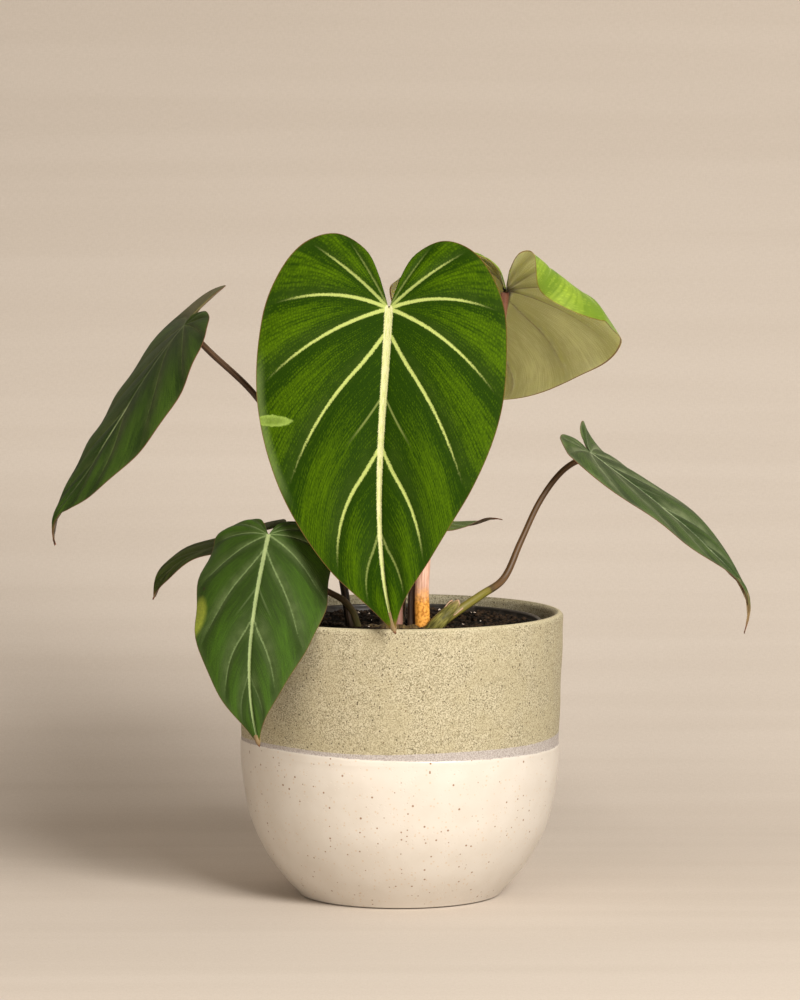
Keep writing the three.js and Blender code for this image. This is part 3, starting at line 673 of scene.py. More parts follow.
def leaf_under_material(name, leaf, seed):
    """Matt, paler underside with brown veins that darken towards the stalk."""
    material, g, bsdf = new_material(
        "leaf_under_" + name, Specular_IOR_Level=0.25, Sheen_Weight=0.12, Roughness=0.62,
        Subsurface_Weight=leaf.get("glow", 0.0), Subsurface_Scale=BLADE_GLOW_DEPTH,
        Subsurface_Radius=BLADE_GLOW_COLOURS)
    where = g.place()
    tissue = g.group("leaf tissue", Dark=srgb(leaf.get("under_dark", "5c4c30")),
                     Bright=srgb(leaf.get("under_bright", "8f8050")), Seed=seed + 3.0, Net=0.7)
    colour = tissue["Colour"]
    rib = g.group("ragged line", Where=where, Distance=g.math("ADD", g.value("rib"), 0.25), Fray=0.4,
                  Fray_scale=0.9, Softness=0.35)["Mask"]
    rib = g.math("MULTIPLY", rib, g.value("rib_shows"))
    middle = g.group("ragged line", Where=where, Distance=g.value("midrib"), Fray=0.4, Fray_scale=0.9,
                     Softness=0.4)["Mask"]
    near = g.step(g.value("from_stalk"), 4.0, 34.0, 1.0, 0.0)
    vein_colour = g.mix(near, srgb("8a7350"), srgb("4c3626"))
    veins = g.math("MAXIMUM", g.scaled(rib, 0.6), g.scaled(middle, 0.8))
    colour = g.mix(veins, colour, vein_colour)
    knot = g.step(g.value("from_stalk"), 1.0, 7.0, 0.85, 0.0)
    colour = g.mix(knot, colour, srgb("35261a"))
    edge = g.step(g.value("margin"), 0.5, 1.3, 0.9, 0.0)
    g.put(bsdf["Base Color"], g.mix(edge, colour, srgb("6b3a28")))
    g.put(bsdf["Normal"], bump(g, tissue["Height"], 0.06, 0.7))
    return material


def stalk_material(name, leaf, seed):
    """Ribbed, waxy stalk whose colour changes from foot to blade, with pale stripes and dark flecks."""
    material, g, bsdf = new_material("stalk_skin_" + name, Specular_IOR_Level=0.45)
    where, along, ribs = g.place(), g.value("along"), g.value("ribs")
    low, high = leaf.get("stalk_change", (0.08, 0.75))
    colour = g.mix(g.step(along, low, high), srgb(leaf["stalk_foot"]), srgb(leaf["stalk_top"]))
    if "stalk_node" in leaf:
        away = g.math("ABSOLUTE", g.around(along, leaf["stalk_node"]))
        colour = g.mix(g.step(away, 0.004, 0.018, 0.8, 0.0), colour, srgb("2e2212"))
    stripes = g.noise(g.join(g.scaled(ribs, 1.3), g.scaled(along, 3.0), seed), 2.0, 3, 0.6)
    colour = g.mix(g.step(stripes, 0.4, 0.7, 0.0, 0.5), colour, g.mix(0.4, colour, srgb("a9805c")))
    flecks = g.group("specks", Where=where, Scale=1.4, Share=0.35, Size=0.28)["Mask"]
    g.put(bsdf["Base Color"], g.mix(g.scaled(flecks, 0.5), colour, srgb("2a1c12")))
    g.put(bsdf["Roughness"], g.step(stripes, 0.2, 0.8, 0.42, 0.6))
    g.put(bsdf["Normal"], bump(g, stripes, 0.08, 0.7))
    return material


# Blades


class Blade:
    """The curved surface of one leaf and the distances its markings need."""

    def __init__(self, leaf):
        self.leaf = leaf
        self.control = through(leaf["midrib"])
        t = np.linspace(0, 1, 401)
        steps = np.linalg.norm(np.diff(bezier(self.control, t), axis=0), axis=1)
        self.length = steps.sum()
        self.table = (np.concatenate([[0], np.cumsum(steps)]) / self.length, t)

    def outline(self, meets):
        """Places on the flat outline of a half blade."""
        t = np.clip(meets, 0, 1) * (len(OUTLINE) - 1)
        i = np.minimum(t.astype(int), len(OUTLINE) - 2)
        w = (t - i)[..., None]
        before, here = OUTLINE[np.maximum(i - 1, 0)], OUTLINE[i]
        there, after = OUTLINE[i + 1], OUTLINE[np.minimum(i + 2, len(OUTLINE) - 1)]
        v0, v1 = (there - before) / 2, (after - here) / 2
        cubic = (2 * here - 2 * there + v0 + v1) * w ** 3
        return cubic + (-3 * here + 3 * there - 2 * v0 - v1) * w ** 2 + v0 * w + here

    def column(self, sector):
        """Foot, direction, place on the outline and its share of it, of the line at a sector position."""
        knots = np.arange(SECTORS + 1)
        start = np.interp(sector, knots, VEIN_START)
        angle = np.radians(np.interp(sector, knots, VEIN_ANGLE))
        meets = np.interp(sector, knots, VEIN_MEETS)
        foot = np.stack([np.zeros_like(start), start], -1)
        return foot, angle, self.outline(meets), meets

    def flat(self, sector, reach):
        """Places on the flat half blade, in shares of the midrib's length."""
        foot, angle, to, _ = self.column(sector)
        length = np.linalg.norm(to - foot, axis=-1)[..., None]
        bend = foot + np.stack([np.sin(angle), np.cos(angle)], -1) * length * VEIN_BEND
        r = reach[..., None]
        return foot * (1 - r) ** 2 + 2 * bend * r * (1 - r) + to * r * r

    def vein_path(self, sector, u):
        """A vein on the flat half blade, in millimetres; it leaves the midrib at a slant."""
        line = self.flat(np.full(len(u), sector), u) * self.length
        if line[0, 1] > 0:
            line[:, 1] -= 0.035 * self.length * (1 - np.minimum(1, u / 0.24)) ** 2
        return line

    def midrib_frame(self, along):
        """Centre, tangent and face of the blade at shares along its midrib."""
        leaf = self.leaf
        share = np.clip(along, 0, 1)
        t = np.interp(share, *self.table)
        centre, tangent = bezier(self.control, t), bezier_direction(self.control, t)
        if "drip" in leaf:
            at = np.interp(DRIP_FROM, *self.table)
            foot, towards = bezier(self.control, at), bezier_direction(self.control, at)
            end = np.array(leaf["drip"], float)
            knee = foot + towards * np.linalg.norm(end - foot) / 2
            done = np.clip((share - DRIP_FROM) / (1 - DRIP_FROM), 0, 1)[..., None]
            thread = foot * (1 - done) ** 2 + 2 * knee * done * (1 - done) + end * done * done
            turn = (knee - foot) * (1 - done) + (end - knee) * done
            turn /= np.linalg.norm(turn, axis=-1, keepdims=True)
            beyond = (share > DRIP_FROM)[..., None]
            centre, tangent = np.where(beyond, thread, centre), np.where(beyond, turn, tangent)
        first, last = np.array(leaf["faces"], float)
        face = first + (last - first) * share[..., None]
        face = face - (face * tangent).sum(-1, keepdims=True) * tangent
        return centre, tangent, face / np.linalg.norm(face, axis=-1, keepdims=True)

    def surface(self, half, sector, row, quilting):
        """Places on the curved half blade, in millimetres."""
        leaf, length, sign = self.leaf, self.length, 1 if half else -1
        foot, _, to, meets = self.column(sector)
        reach, drop = row, np.zeros_like(row)
        roll = leaf["roll"][half] if "roll" in leaf else None
        if roll:
            turn = math.radians(roll["angle"]) * np.exp(-((meets - roll["at"]) / roll["spread"]) ** 2)
            turn = np.maximum(turn, 1e-3)
            left = 1 - roll["start"]
            done = turn * np.clip((row - roll["start"]) / left, 0, 1)
            beyond = row > roll["start"]
            reach = np.where(beyond, roll["start"] + left * np.sin(done) / turn, row)
            rolled = left * np.linalg.norm(to - foot, axis=-1) * length
            drop = np.where(beyond, rolled * (1 - np.cos(done)) / turn, 0)
        flat = self.flat(sector, reach)
        width = leaf["width"][half]
        across = flat[..., 0] * width
        along = np.where(flat[..., 1] < 0, flat[..., 1] * leaf["lobe"][half], flat[..., 1])
        centre, tangent, face = self.midrib_frame(along)
        side = np.cross(face, tangent)
        rate = math.radians(leaf["curl"][half] or 0.01) / LOBE
        bend = rate * np.maximum(-along, 0)[..., None]
        centre = centre - tangent * np.sin(bend) / rate * length + face * (1 - np.cos(bend)) / rate * length
        up = face * np.cos(bend) + tangent * np.sin(bend)
        tipward = np.clip(along, 0, 1)
        fold, droop = leaf["fold"], leaf["droop"]
        rise = np.radians(fold[0][half] + (fold[1][half] - fold[0][half]) * tipward)
        fall = np.radians(droop[0][half] + (droop[1][half] - droop[0][half]) * tipward)
        fall = np.where(np.abs(fall) < 1e-3, 1e-3, fall)
        edge = HALF_WIDTH * width
        slope = rise - fall * across / edge
        out = (np.sin(rise) - np.sin(slope)) / fall * edge * length
        height = (np.cos(slope) - np.cos(rise)) / fall * edge * length
        share = sector - np.floor(sector)
        between = np.sin(math.pi * share) * np.minimum(1, row + 3 * foot[..., 1])
        quilt = quilting * length * between * np.sin(math.pi * np.clip(row, 0, 1)) ** 0.7
        wave, count, phase = leaf["ripple"]
        ripple = wave * row ** 3 * np.sin(TAU * (count * flat[..., 1] + phase + 0.35 * sign))
        normal = up * np.cos(slope)[..., None] - side * sign * np.sin(slope)[..., None]
        centre = centre + side * (sign * out)[..., None] + up * height[..., None]
        return centre + normal * (quilt + ripple - drop)[..., None]

    def near_veins(self, x, y):
        """Distance from the nearest lateral vein, how clearly it shows there and how far along it is."""
        narrow = self.leaf["rib_width"][1]
        rib, shows, barb = np.full(x.shape, FAR), np.zeros(x.shape), np.zeros(x.shape)
        u = np.linspace(0, 1, VEIN_STEPS)
        for k in range(1, SECTORS):
            line = self.vein_path(float(k), u)
            gap = np.hypot(x[..., None] - line[:, 0], y[..., None] - line[:, 1])
            at, apart = u[gap.argmin(-1)], gap.min(-1)
            strength = VEIN_SHOWS[k]
            half_rib = narrow / 2 * (0.25 + 0.75 * strength) * (1 - at) ** 0.6 + 0.03
            nearer = apart - half_rib < rib
            rib = np.where(nearer, apart - half_rib, rib)
            run = at * np.linalg.norm(line[-1] - line[0]) + 40 * k
            barb = np.where(nearer, run - BARB_SLANT * apart, barb)
            shows = np.where(nearer, strength * (1 - smooth(0.6, 0.95, at)), shows)
        return {"rib": rib, "rib_shows": shows, "rib_run": barb}

    def near_faint_vein(self, x, y):
        """Signed distance from the faint extra vein, and where it shows."""
        u = np.linspace(0, 1, VEIN_STEPS)
        line = self.vein_path(FAINT_SECTOR, u)
        gap = np.hypot(x[..., None] - line[:, 0], y[..., None] - line[:, 1])
        nearest = np.clip(gap.argmin(-1), 1, len(u) - 2)
        ahead = line[nearest + 1] - line[nearest - 1]
        apart = ahead[..., 0] * (y - line[nearest, 1]) - ahead[..., 1] * (x - line[nearest, 0])
        return {"faint": apart / np.linalg.norm(ahead, axis=-1),
                "faint_shows": (1 - smooth(0.16, 0.34, u[nearest])) * (gap.min(-1) < 4)}

    def streaks(self, sector, row):
        """Numbers that rise by 1 from streak to streak and along it, and how far apart streaks are."""
        flat = self.flat(sector, row) * self.length
        ahead = self.flat(np.minimum(sector + 0.05, SECTORS), row) * self.length
        gap = np.hypot(*(ahead - flat).transpose(2, 0, 1)) / 0.05
        whole = np.floor(sector).astype(int)
        middle = np.full_like(row, 0.6)
        tenth = self.flat(whole + 0.55, middle) - self.flat(whole + 0.45, middle)
        widths = np.maximum(4, np.round(np.hypot(*tenth.transpose(2, 0, 1)) * 10 / STREAK))
        counts = [widths[whole == k].max() if (whole == k).any() else 4 for k in range(SECTORS + 1)]
        before = np.concatenate([[0], np.cumsum(counts)])[:-1]
        counts = np.array(counts)[whole]
        foot, _, to, _ = self.column(sector)
        return {"streak": before[whole] + (sector - whole) * counts, "spacing": gap / counts,
                "run": row * np.linalg.norm(to - foot, axis=-1) / STREAK}

    def markings(self, half, sector, row):
        """Distances in millimetres, on the flat blade, that the materials and the relief read."""
        leaf, length = self.leaf, self.length
        flat = self.flat(sector, row) * length
        x, y = flat[..., 0], flat[..., 1]
        tipward = np.clip(y / length, 0, 1)
        half_midrib = leaf["rib_width"][0] / 2 * (1 - tipward) ** 0.75 + 0.12
        found = {"midrib": np.where(y < 0, np.hypot(x, y), x) - half_midrib}
        found["midrib_run"] = y - BARB_SLANT * x
        found["from_stalk"] = np.hypot(x, y)
        found["to_tip"] = length - y
        found.update(self.near_veins(x, y))
        found.update(self.near_faint_vein(x, y))
        margin = self.flat(sector, np.ones_like(row)) * length
        found["margin"] = np.hypot(x - margin[..., 0], y - margin[..., 1])
        share = sector - np.floor(sector)
        # Painted light on the ridge between two veins, brighter towards the margin; the hollows beside the
        # veins get painted shade
        ridge = smooth(0.03, 0.36, share) * (1 - smooth(0.6, 0.98, share))
        found["painted_ridge_light"] = 0.12 + 0.5 * ridge * smooth(0.0, 0.65, row)
        # Where painted velvet sheen goes: on the slope just before each vein, less near the margin
        before_vein = smooth(0.56, 0.98, share) * (1 - smooth(0.985, 1, share))
        found["shoulder"] = before_vein * smooth(0.02, 0.2, row) * (1 - 0.5 * smooth(0.6, 1, row))
        found.update(self.streaks(sector, row))
        # Where a pale band of painted sheen runs along a stretch of one half's margin
        found["painted_sheen_rim"] = np.zeros(x.shape)
        if "painted_sheen_rim" in leaf and leaf["painted_sheen_rim"][0] == half:
            _, first, last = leaf["painted_sheen_rim"]
            found["painted_sheen_rim"] = smooth(first - 12, first + 4, y) * (1 - smooth(last - 4, last + 12, y))
        clear_from, clear_to = leaf.get("midrib_clear", (-FAR, FAR * 10))
        clear = smooth(clear_from, clear_from + 16, y) * (1 - smooth(clear_to - 16, clear_to, y))
        found["midrib_shows"] = np.maximum(clear, 0.3)
        found["flat_x"] = x if half else -x
        found["flat_y"] = y
        on_lobe = "lobe_tint" in leaf and leaf["lobe_tint"][0] == half
        found["lobe"] = smooth(0, 9, -y) * on_lobe
        return found

    def skin(self, columns, rows, quilting):
        """The upper skin of both halves with shared midrib, stalk place and tip."""
        sector, row = np.meshgrid(columns, rows, indexing="ij")
        feet = np.interp(columns, np.arange(SECTORS + 1), VEIN_START)
        count = 2
        ids = np.zeros((2, len(columns), len(rows)), int)
        on_midrib = [i for i in range(len(columns) - 1) if feet[i] > 0]
        for i in on_midrib:
            ids[:, i, 0] = count
            count += 1
        for half in (0, 1):
            block = count + np.arange((len(columns) - 1) * (len(rows) - 1)).reshape(len(columns) - 1, -1)
            ids[half, :-1, 1:] = block
            count += block.size
            ids[half, -1, :] = 1
        places = np.zeros((count, 3))
        values = {}
        for half in (0, 1):
            places[ids[half]] = self.surface(half, sector, row, quilting)
            for key, numbers in self.markings(half, sector, row).items():
                values.setdefault(key, np.zeros(count))[ids[half]] = numbers
        faces = []
        for half in (0, 1):
            a, b = ids[half][:-1, :-1], ids[half][1:, :-1]
            c, d = ids[half][1:, 1:], ids[half][:-1, 1:]
            quads = np.stack([a, b, c, d] if half else [a, d, c, b], -1).reshape(-1, 4)
            faces.append(quads)
        rims = [ids[0][:, -1], ids[1][:, -1]]
        return places, values, np.concatenate(faces), rims


def without_repeats(quads):
    """Faces with repeated corners cut down to triangles, and those without area left out."""
    faces = []
    for quad in quads.tolist():
        face = [v for i, v in enumerate(quad) if v != quad[i - 1]]
        if len(set(face)) > 2:
            faces.append(face)
    return faces


def vertex_normals(places, faces):
    """Area-weighted normals from faces of three or four corners."""
    normals = np.zeros_like(places)
    array = np.array([f if len(f) == 4 else [*f, f[2]] for f in faces])
    a, b, c, d = (places[array[:, i]] for i in range(4))
    area = np.cross(c - a, d - b)
    area = np.where(np.linalg.norm(area, axis=1, keepdims=True) > 1e-9, area, np.cross(b - a, c - a))
    for i in range(4):
        np.add.at(normals, array[:, i], area)
    return normals / np.maximum(np.linalg.norm(normals, axis=1, keepdims=True), 1e-9)


def dense_ends(count, pull=0.72):
    """Shares from 0 up to 1, without 1, closer together at both ends."""
    t = np.arange(count) / count
    return t - pull * np.sin(TAU * t) / TAU


def make_blade(name, leaf, look, seed):
    """One blade of two skins with sunken and raised veins; gives where its stalk ends and its normal."""
    blade = Blade(leaf)
    per_sector, row_count = leaf["cells"]
    columns = np.concatenate([k + dense_ends(per_sector) for k in range(SECTORS)] + [[SECTORS]])
    rows = np.unique([*np.linspace(0, 1, row_count)[:-1] ** 1.25, *MARGIN_ROWS])
    places, values, quads, rims = blade.skin(columns, rows, look.quilting)
    faces = without_repeats(quads)
    normals = vertex_normals(places, faces)
    shows = values["rib_shows"]
    groove = RIB_GROOVE * shows * (1 - smooth(-0.3, 1.1, values["rib"]))
    groove = np.maximum(groove, MIDRIB_GROOVE * (1 - smooth(-0.6, 1.4, values["midrib"])))
    scale = min(1.0, blade.length / 150 + 0.25)
    ridge = RIB_RIDGE * shows * (1 - smooth(-0.4, 0.7, values["rib"]))
    ridge = np.maximum(ridge, MIDRIB_RIDGE * (1 - smooth(-1.2, 0.9, values["midrib"])))
    thin = smooth(-0.5, 3.0, values["margin"])
    thick = look.blade_thickness / MM * (0.45 + 0.55 * thin)
    upper = places - normals * (groove * scale * thin)[:, None]
    lower = places - normals * (thick + (groove + ridge) * scale * thin)[:, None]
    count = len(places)
    all_places = np.concatenate([upper, lower])
    all_faces = faces + [[v + count for v in reversed(f)] for f in faces]
    shades = [0] * len(faces) + [1] * len(faces)
    rim = list(rims[1]) + list(rims[0][::-1])
    ring = np.array([v for i, v in enumerate(rim) if v != rim[i - 1]] + [0])
    following = np.roll(ring, -1)
    outward = np.cross(places[following] - places[np.roll(ring, 1)], normals[ring])
    outward /= np.maximum(np.linalg.norm(outward, axis=1, keepdims=True), 1e-9)
    bead = (upper[ring] + lower[ring]) / 2 + outward * MARGIN_BEAD
    base = len(all_places)
    all_places = np.concatenate([all_places, bead])
    for i, (here, there) in enumerate(zip(ring, following)):
        j = (i + 1) % len(ring)
        all_faces.append([here, base + i, base + j, there])
        all_faces.append([base + i, here + count, there + count, base + j])
        shades += [0, 1]
    numbers = {key: np.concatenate([v, v, v[ring]]) for key, v in values.items()}
    materials = [leaf_top_material(name, leaf, seed), leaf_under_material(name, leaf, seed)]
    add_piece("leaf_" + name, all_places, all_faces, materials, "blade_" + name, shades,
              numbers)
    return lower[0], normals[0]


def make_stalk(leaf, look, end, normal):
    """One ribbed stalk, which swells a little where it bears the blade and at its foot."""
    points = [*leaf["stalk"], tuple(end - normal * 0.2)]
    rough = np.linalg.norm(np.diff(np.array(points), axis=0), axis=1).sum()
    line, length = spline(points, int(rough / 1.6) + 2)
    share = np.linspace(0, 1, len(line))
    foot, top = leaf["stalk_radius"]
    radius = foot + (top - foot) * np.minimum(1, share * 1.6)
    radius *= 1 + 0.16 * np.exp(-((1 - share) * length / 6) ** 2)
    sides = look.stalk_sides
    angle = np.arange(sides) * TAU / sides
    ribs = 0.035 * np.cos(9 * angle) + 0.02 * np.cos(5 * angle + 1)
    offsets = [r * np.stack([np.cos(angle) * (1 + ribs), np.sin(angle) * (1 + ribs)], 1) for r in radius]
    places = swept(line, offsets)
    return places, capped(len(line), sides), along_and_ribs(share, angle)


def along_and_ribs(share, angle):
    """For a tube's places, how far along each is and how far round from the middle of its back."""
    return {"along": np.repeat(share, len(angle)), "ribs": np.tile(np.abs(angle - math.pi), len(share))}


def dry_sheath_material():
    """Papery, greyish pink leaf sheath that is orange at its foot."""
    material, g, bsdf = new_material("cataphyll_skin", Specular_IOR_Level=0.35)
    where, along = g.place(), g.value("along")
    fibres = g.noise(g.join(g.scaled(g.value("ribs"), 3.2), g.scaled(along, 5.0)), 1.6, 3, 0.6)
    upper = g.mix(g.step(fibres, 0.35, 0.68), srgb("bf8f78"), srgb("e6bba2"))
    lower = g.mix(g.step(g.noise(where, 0.8, 3), 0.35, 0.6), srgb("b8741f"), srgb("eeaa4a"))
    cut = g.math("MULTIPLY_ADD", g.around(g.noise(where, 0.35, 2)), 0.12, along)
    colour = g.mix(g.step(cut, 0.24, 0.36), lower, upper)
    flecks = g.group("specks", Where=where, Scale=1.1, Share=0.16, Size=0.34)["Mask"]
    foot = g.step(along, 0.16, 0.4, 0.85, 0.15)
    colour = g.mix(g.math("MULTIPLY", flecks, foot), colour, srgb("5b3312"))
    g.put(bsdf["Base Color"], colour)
    g.put(bsdf["Roughness"], g.step(fibres, 0.2, 0.8, 0.45, 0.68))
    g.put(bsdf["Normal"], bump(g, fibres, 0.12, 0.8))
    return material


def torn_sheath_material():
    """Olive sheath with pale dry strips and a pink rim where it is torn."""
    material, g, bsdf = new_material("torn_sheath_skin", Specular_IOR_Level=0.35, Roughness=0.55)
    along = g.value("along")
    fibres = g.noise(g.join(g.scaled(g.value("ribs"), 3.0), g.scaled(along, 4.0), 7.0), 1.8, 3, 0.6)
    colour = g.mix(g.step(fibres, 0.36, 0.66), srgb("4b481a"), srgb("8a8440"))
    colour = g.mix(g.step(along, 0.72, 1.0, 0.0, 0.7), colour, srgb("b9a071"))
    rim = g.step(g.value("rim"), 0.0, 0.7, 0.8, 0.0)
    g.put(bsdf["Base Color"], g.mix(rim, colour, srgb("c39a83")))
    g.put(bsdf["Normal"], bump(g, fibres, 0.12, 0.8))
    return material


def make_cataphyll():
    """The dry leaf sheath beside the youngest stalk: a strap rolled round on itself with a long seam."""
    points = [(10.5, -19.5, 118), (10, -18, 141.5), (11, -14.5, 157), (12.5, -11, 177.5), (13, -9.5, 191)]
    line, _ = spline(points, 60)
    share = np.linspace(0, 1, len(line))
    sides = 36
    angle = np.arange(sides) * TAU / sides
    seam_at, keel_at, foot, taper, flat = 4.1, 1.2, 3.6, 1.1, 0.8
    seam = np.exp(-((angle - seam_at) / 0.16) ** 2)
    keel = 0.06 * np.exp(-((angle - keel_at) / 0.3) ** 2)
    offsets = []
    for s in share:
        waist, point = 0.16 * np.exp(-(s / 0.09) ** 2), 0.85 * smooth(0.86, 1.0, s)
        wrinkle = 1 + keel - 0.22 * seam + 0.012 * np.cos(11 * angle + 4 * s)
        radius = (foot - taper * s) * (1 - waist) * (1 - point) * wrinkle
        offsets.append(np.stack([radius * np.cos(angle), flat * radius * np.sin(angle)], 1))
    return swept(line, offsets), capped(len(line), sides), along_and_ribs(share, angle)


def make_torn_sheath():
    """The open sheath that clasps the right stalk's foot, its upper end torn into pointed strips."""
    points = [(11, -21, 118), (17, -25.5, 127), (23.5, -24.5, 133.5), (29, -24.2, 139.5)]
    line, _ = spline(points, 44)
    count, sides = len(line), 40
    tangent = np.gradient(line, axis=0)
    tangent /= np.linalg.norm(tangent, axis=1, keepdims=True)
    side = np.cross(tangent, (0, -1, 0.1))
    side /= np.linalg.norm(side, axis=1, keepdims=True)
    out = np.cross(side, tangent)
    clasp, foot, taper, wall, flat = 2.5, 4.1, 1.5, 0.45, 0.86
    turn = np.linspace(-clasp, clasp, sides)
    tips = 0.80 + 0.11 * np.cos(turn * 3.1 + 0.6) + 0.09 * np.exp(-((turn - 0.4) / 0.25) ** 2)
    tips -= 0.10 * (np.abs(turn) / clasp) ** 2
    places, along, ribs, rim = [], [], [], []
    for skin in (0, 1):
        for i in range(count):
            s = i / (count - 1) * tips
            at = s * (count - 1)
            low = np.minimum(at.astype(int), count - 2)
            w = (at - low)[:, None]
            centre = line[low] * (1 - w) + line[low + 1] * w
            across = side[low] * (1 - w) + side[low + 1] * w
            away = out[low] * (1 - w) + out[low + 1] * w
            radius = (foot - taper * s) * (1 + 0.03 * np.cos(7 * turn)) - wall * skin
            radius *= 1 + 0.35 * smooth(0.6, 1.0, s)
            ring = centre + (radius * np.sin(turn))[:, None] * across
            places.append(ring + (flat * radius * np.cos(turn))[:, None] * away)
            along.append(s)
            ribs.append(np.abs(turn))
            rim.append(np.minimum(np.minimum(clasp - np.abs(turn), 2.0) * 2.5, (tips - s) * 22))
    places = np.concatenate(places)
    step = count * sides
    faces = []
    for i in range(count - 1):
        for j in range(sides - 1):
            a = i * sides + j
            quad = [a, a + 1, a + sides + 1, a + sides]
            faces.append(quad)
            faces.append([v + step for v in reversed(quad)])
    border = list(range(sides)) + [i * sides + sides - 1 for i in range(1, count)]
    border += [(count - 1) * sides + j for j in range(sides - 2, -1, -1)]
    border += [i * sides for i in range(count - 2, 0, -1)]
    for here, there in zip(border, border[1:] + border[:1]):
        faces.append([there, here, here + step, there + step])
    numbers = {"along": np.concatenate(along), "ribs": np.concatenate(ribs), "rim": np.concatenate(rim)}
    return places, faces, numbers


class PHILODENDRON_OT_leaves(bpy.types.Operator):
    """Seven blades and the stalks that bear them"""

    bl_idname = "philodendron.leaves"
    bl_label = "Leaves and stalks"

    def execute(self, context):
        look = context.scene.plant_look
        for seed, (name, leaf) in enumerate(LEAVES.items()):
            end, normal = make_blade(name, leaf, look, float(seed))
            places, faces, numbers = make_stalk(leaf, look, end, normal)
            materials, shades = [stalk_material(name, leaf, float(seed))], [0] * len(faces)
            if name == "right":
                more, extra, marks = make_torn_sheath()
                numbers["rim"] = np.full(len(places), FAR)
                numbers = {key: np.concatenate([v, marks[key]]) for key, v in numbers.items()}
                shades += [1] * len(extra)
                faces = faces + [[v + len(places) for v in face] for face in extra]
                places = np.concatenate([places, more])
                materials.append(torn_sheath_material())
            add_piece("stalk_" + name, places, faces, materials, "petiole_" + name, shades,
                      numbers)
        return {"FINISHED"}


class PHILODENDRON_OT_sheath(bpy.types.Operator):
    """The dry sheath that stands beside the large leaf's stalk"""

    bl_idname = "philodendron.sheath"
    bl_label = "Cataphyll"

    def execute(self, context):
        places, faces, numbers = make_cataphyll()
        add_piece("dry_sheath", places, faces, [dry_sheath_material()], "cataphyll",
                  values=numbers)
        return {"FINISHED"}


# Soil and rhizome


def soil_level(x, y):
    """Height of the soil's surface, in millimetres."""
    return SOIL_LEVEL + 0.9 * np.sin(x / 9 + 1.3) * np.cos(y / 7.5) + 0.5 * np.sin(x / 4.1 - y / 5.3)


def soil_materials():
    """Moist peat, bark chips and white perlite."""
    peat, g, bsdf = new_material("peat", Roughness=0.95, Specular_IOR_Level=0.15)
    where = g.place()
    grain = g.noise(where, 0.9, 5, 0.7)
    g.put(bsdf["Base Color"], g.mix(g.step(grain, 0.4, 0.75), srgb("090603"), srgb("21180c")))
    g.put(bsdf["Normal"], bump(g, grain, 1.2, 1.0))
    bark, g, bsdf = new_material("bark", Roughness=0.8, Specular_IOR_Level=0.2)
    where = g.place()
    grain = g.noise(where, 1.3, 3, 0.6)
    tint = g.mix(g.value("tint"), srgb("140d06"), srgb("3d2c1a"))
    g.put(bsdf["Base Color"], g.mix(g.step(grain, 0.3, 0.7, 0.0, 0.6), tint, srgb("1a110a")))
    g.put(bsdf["Normal"], bump(g, grain, 0.3, 0.8))
    perlite, g, bsdf = new_material("perlite", Roughness=0.7, Specular_IOR_Level=0.3)
    where = g.place()
    grain = g.noise(where, 1.8, 3, 0.6)
    g.put(bsdf["Base Color"], g.mix(g.step(grain, 0.3, 0.7), srgb("b39a88"), srgb("e8dccb")))
    g.put(bsdf["Normal"], bump(g, grain, 0.25, 0.8))
    return peat, bark, perlite


def chunk(random, size, flat):
    """A rough little lump: a jittered, stretched octahedron with its edges cut once."""
    corners = np.array([(1, 0, 0), (-1, 0, 0), (0, 1, 0), (0, -1, 0), (0, 0, 1), (0, 0, -1),
                        (0.6, 0.6, 0.5), (-0.6, 0.6, -0.5), (0.6, -0.6, -0.5), (-0.6, -0.6, 0.5)], float)
    corners *= random.uniform(0.75, 1.2, (len(corners), 1))
    corners *= size * np.array([random.uniform(0.8, 1.5), random.uniform(0.5, 1.0), flat])
    turn = random.uniform(0, TAU)
    tilt = random.uniform(-0.6, 0.6)
    c, s = math.cos(turn), math.sin(turn)
    corners = corners @ np.array([[c, s, 0], [-s, c, 0], [0, 0, 1]])
    c, s = math.cos(tilt), math.sin(tilt)
    return corners @ np.array([[1, 0, 0], [0, c, s], [0, -s, c]])


CHUNK_FACES = [(0, 6, 4), (0, 2, 6), (2, 4, 6), (1, 4, 2), (1, 2, 7), (1, 7, 5), (2, 5, 7), (0, 5, 2),
               (0, 8, 5), (0, 3, 8), (3, 5, 8), (1, 5, 3), (1, 3, 9), (1, 9, 4), (3, 4, 9), (0, 4, 3)]


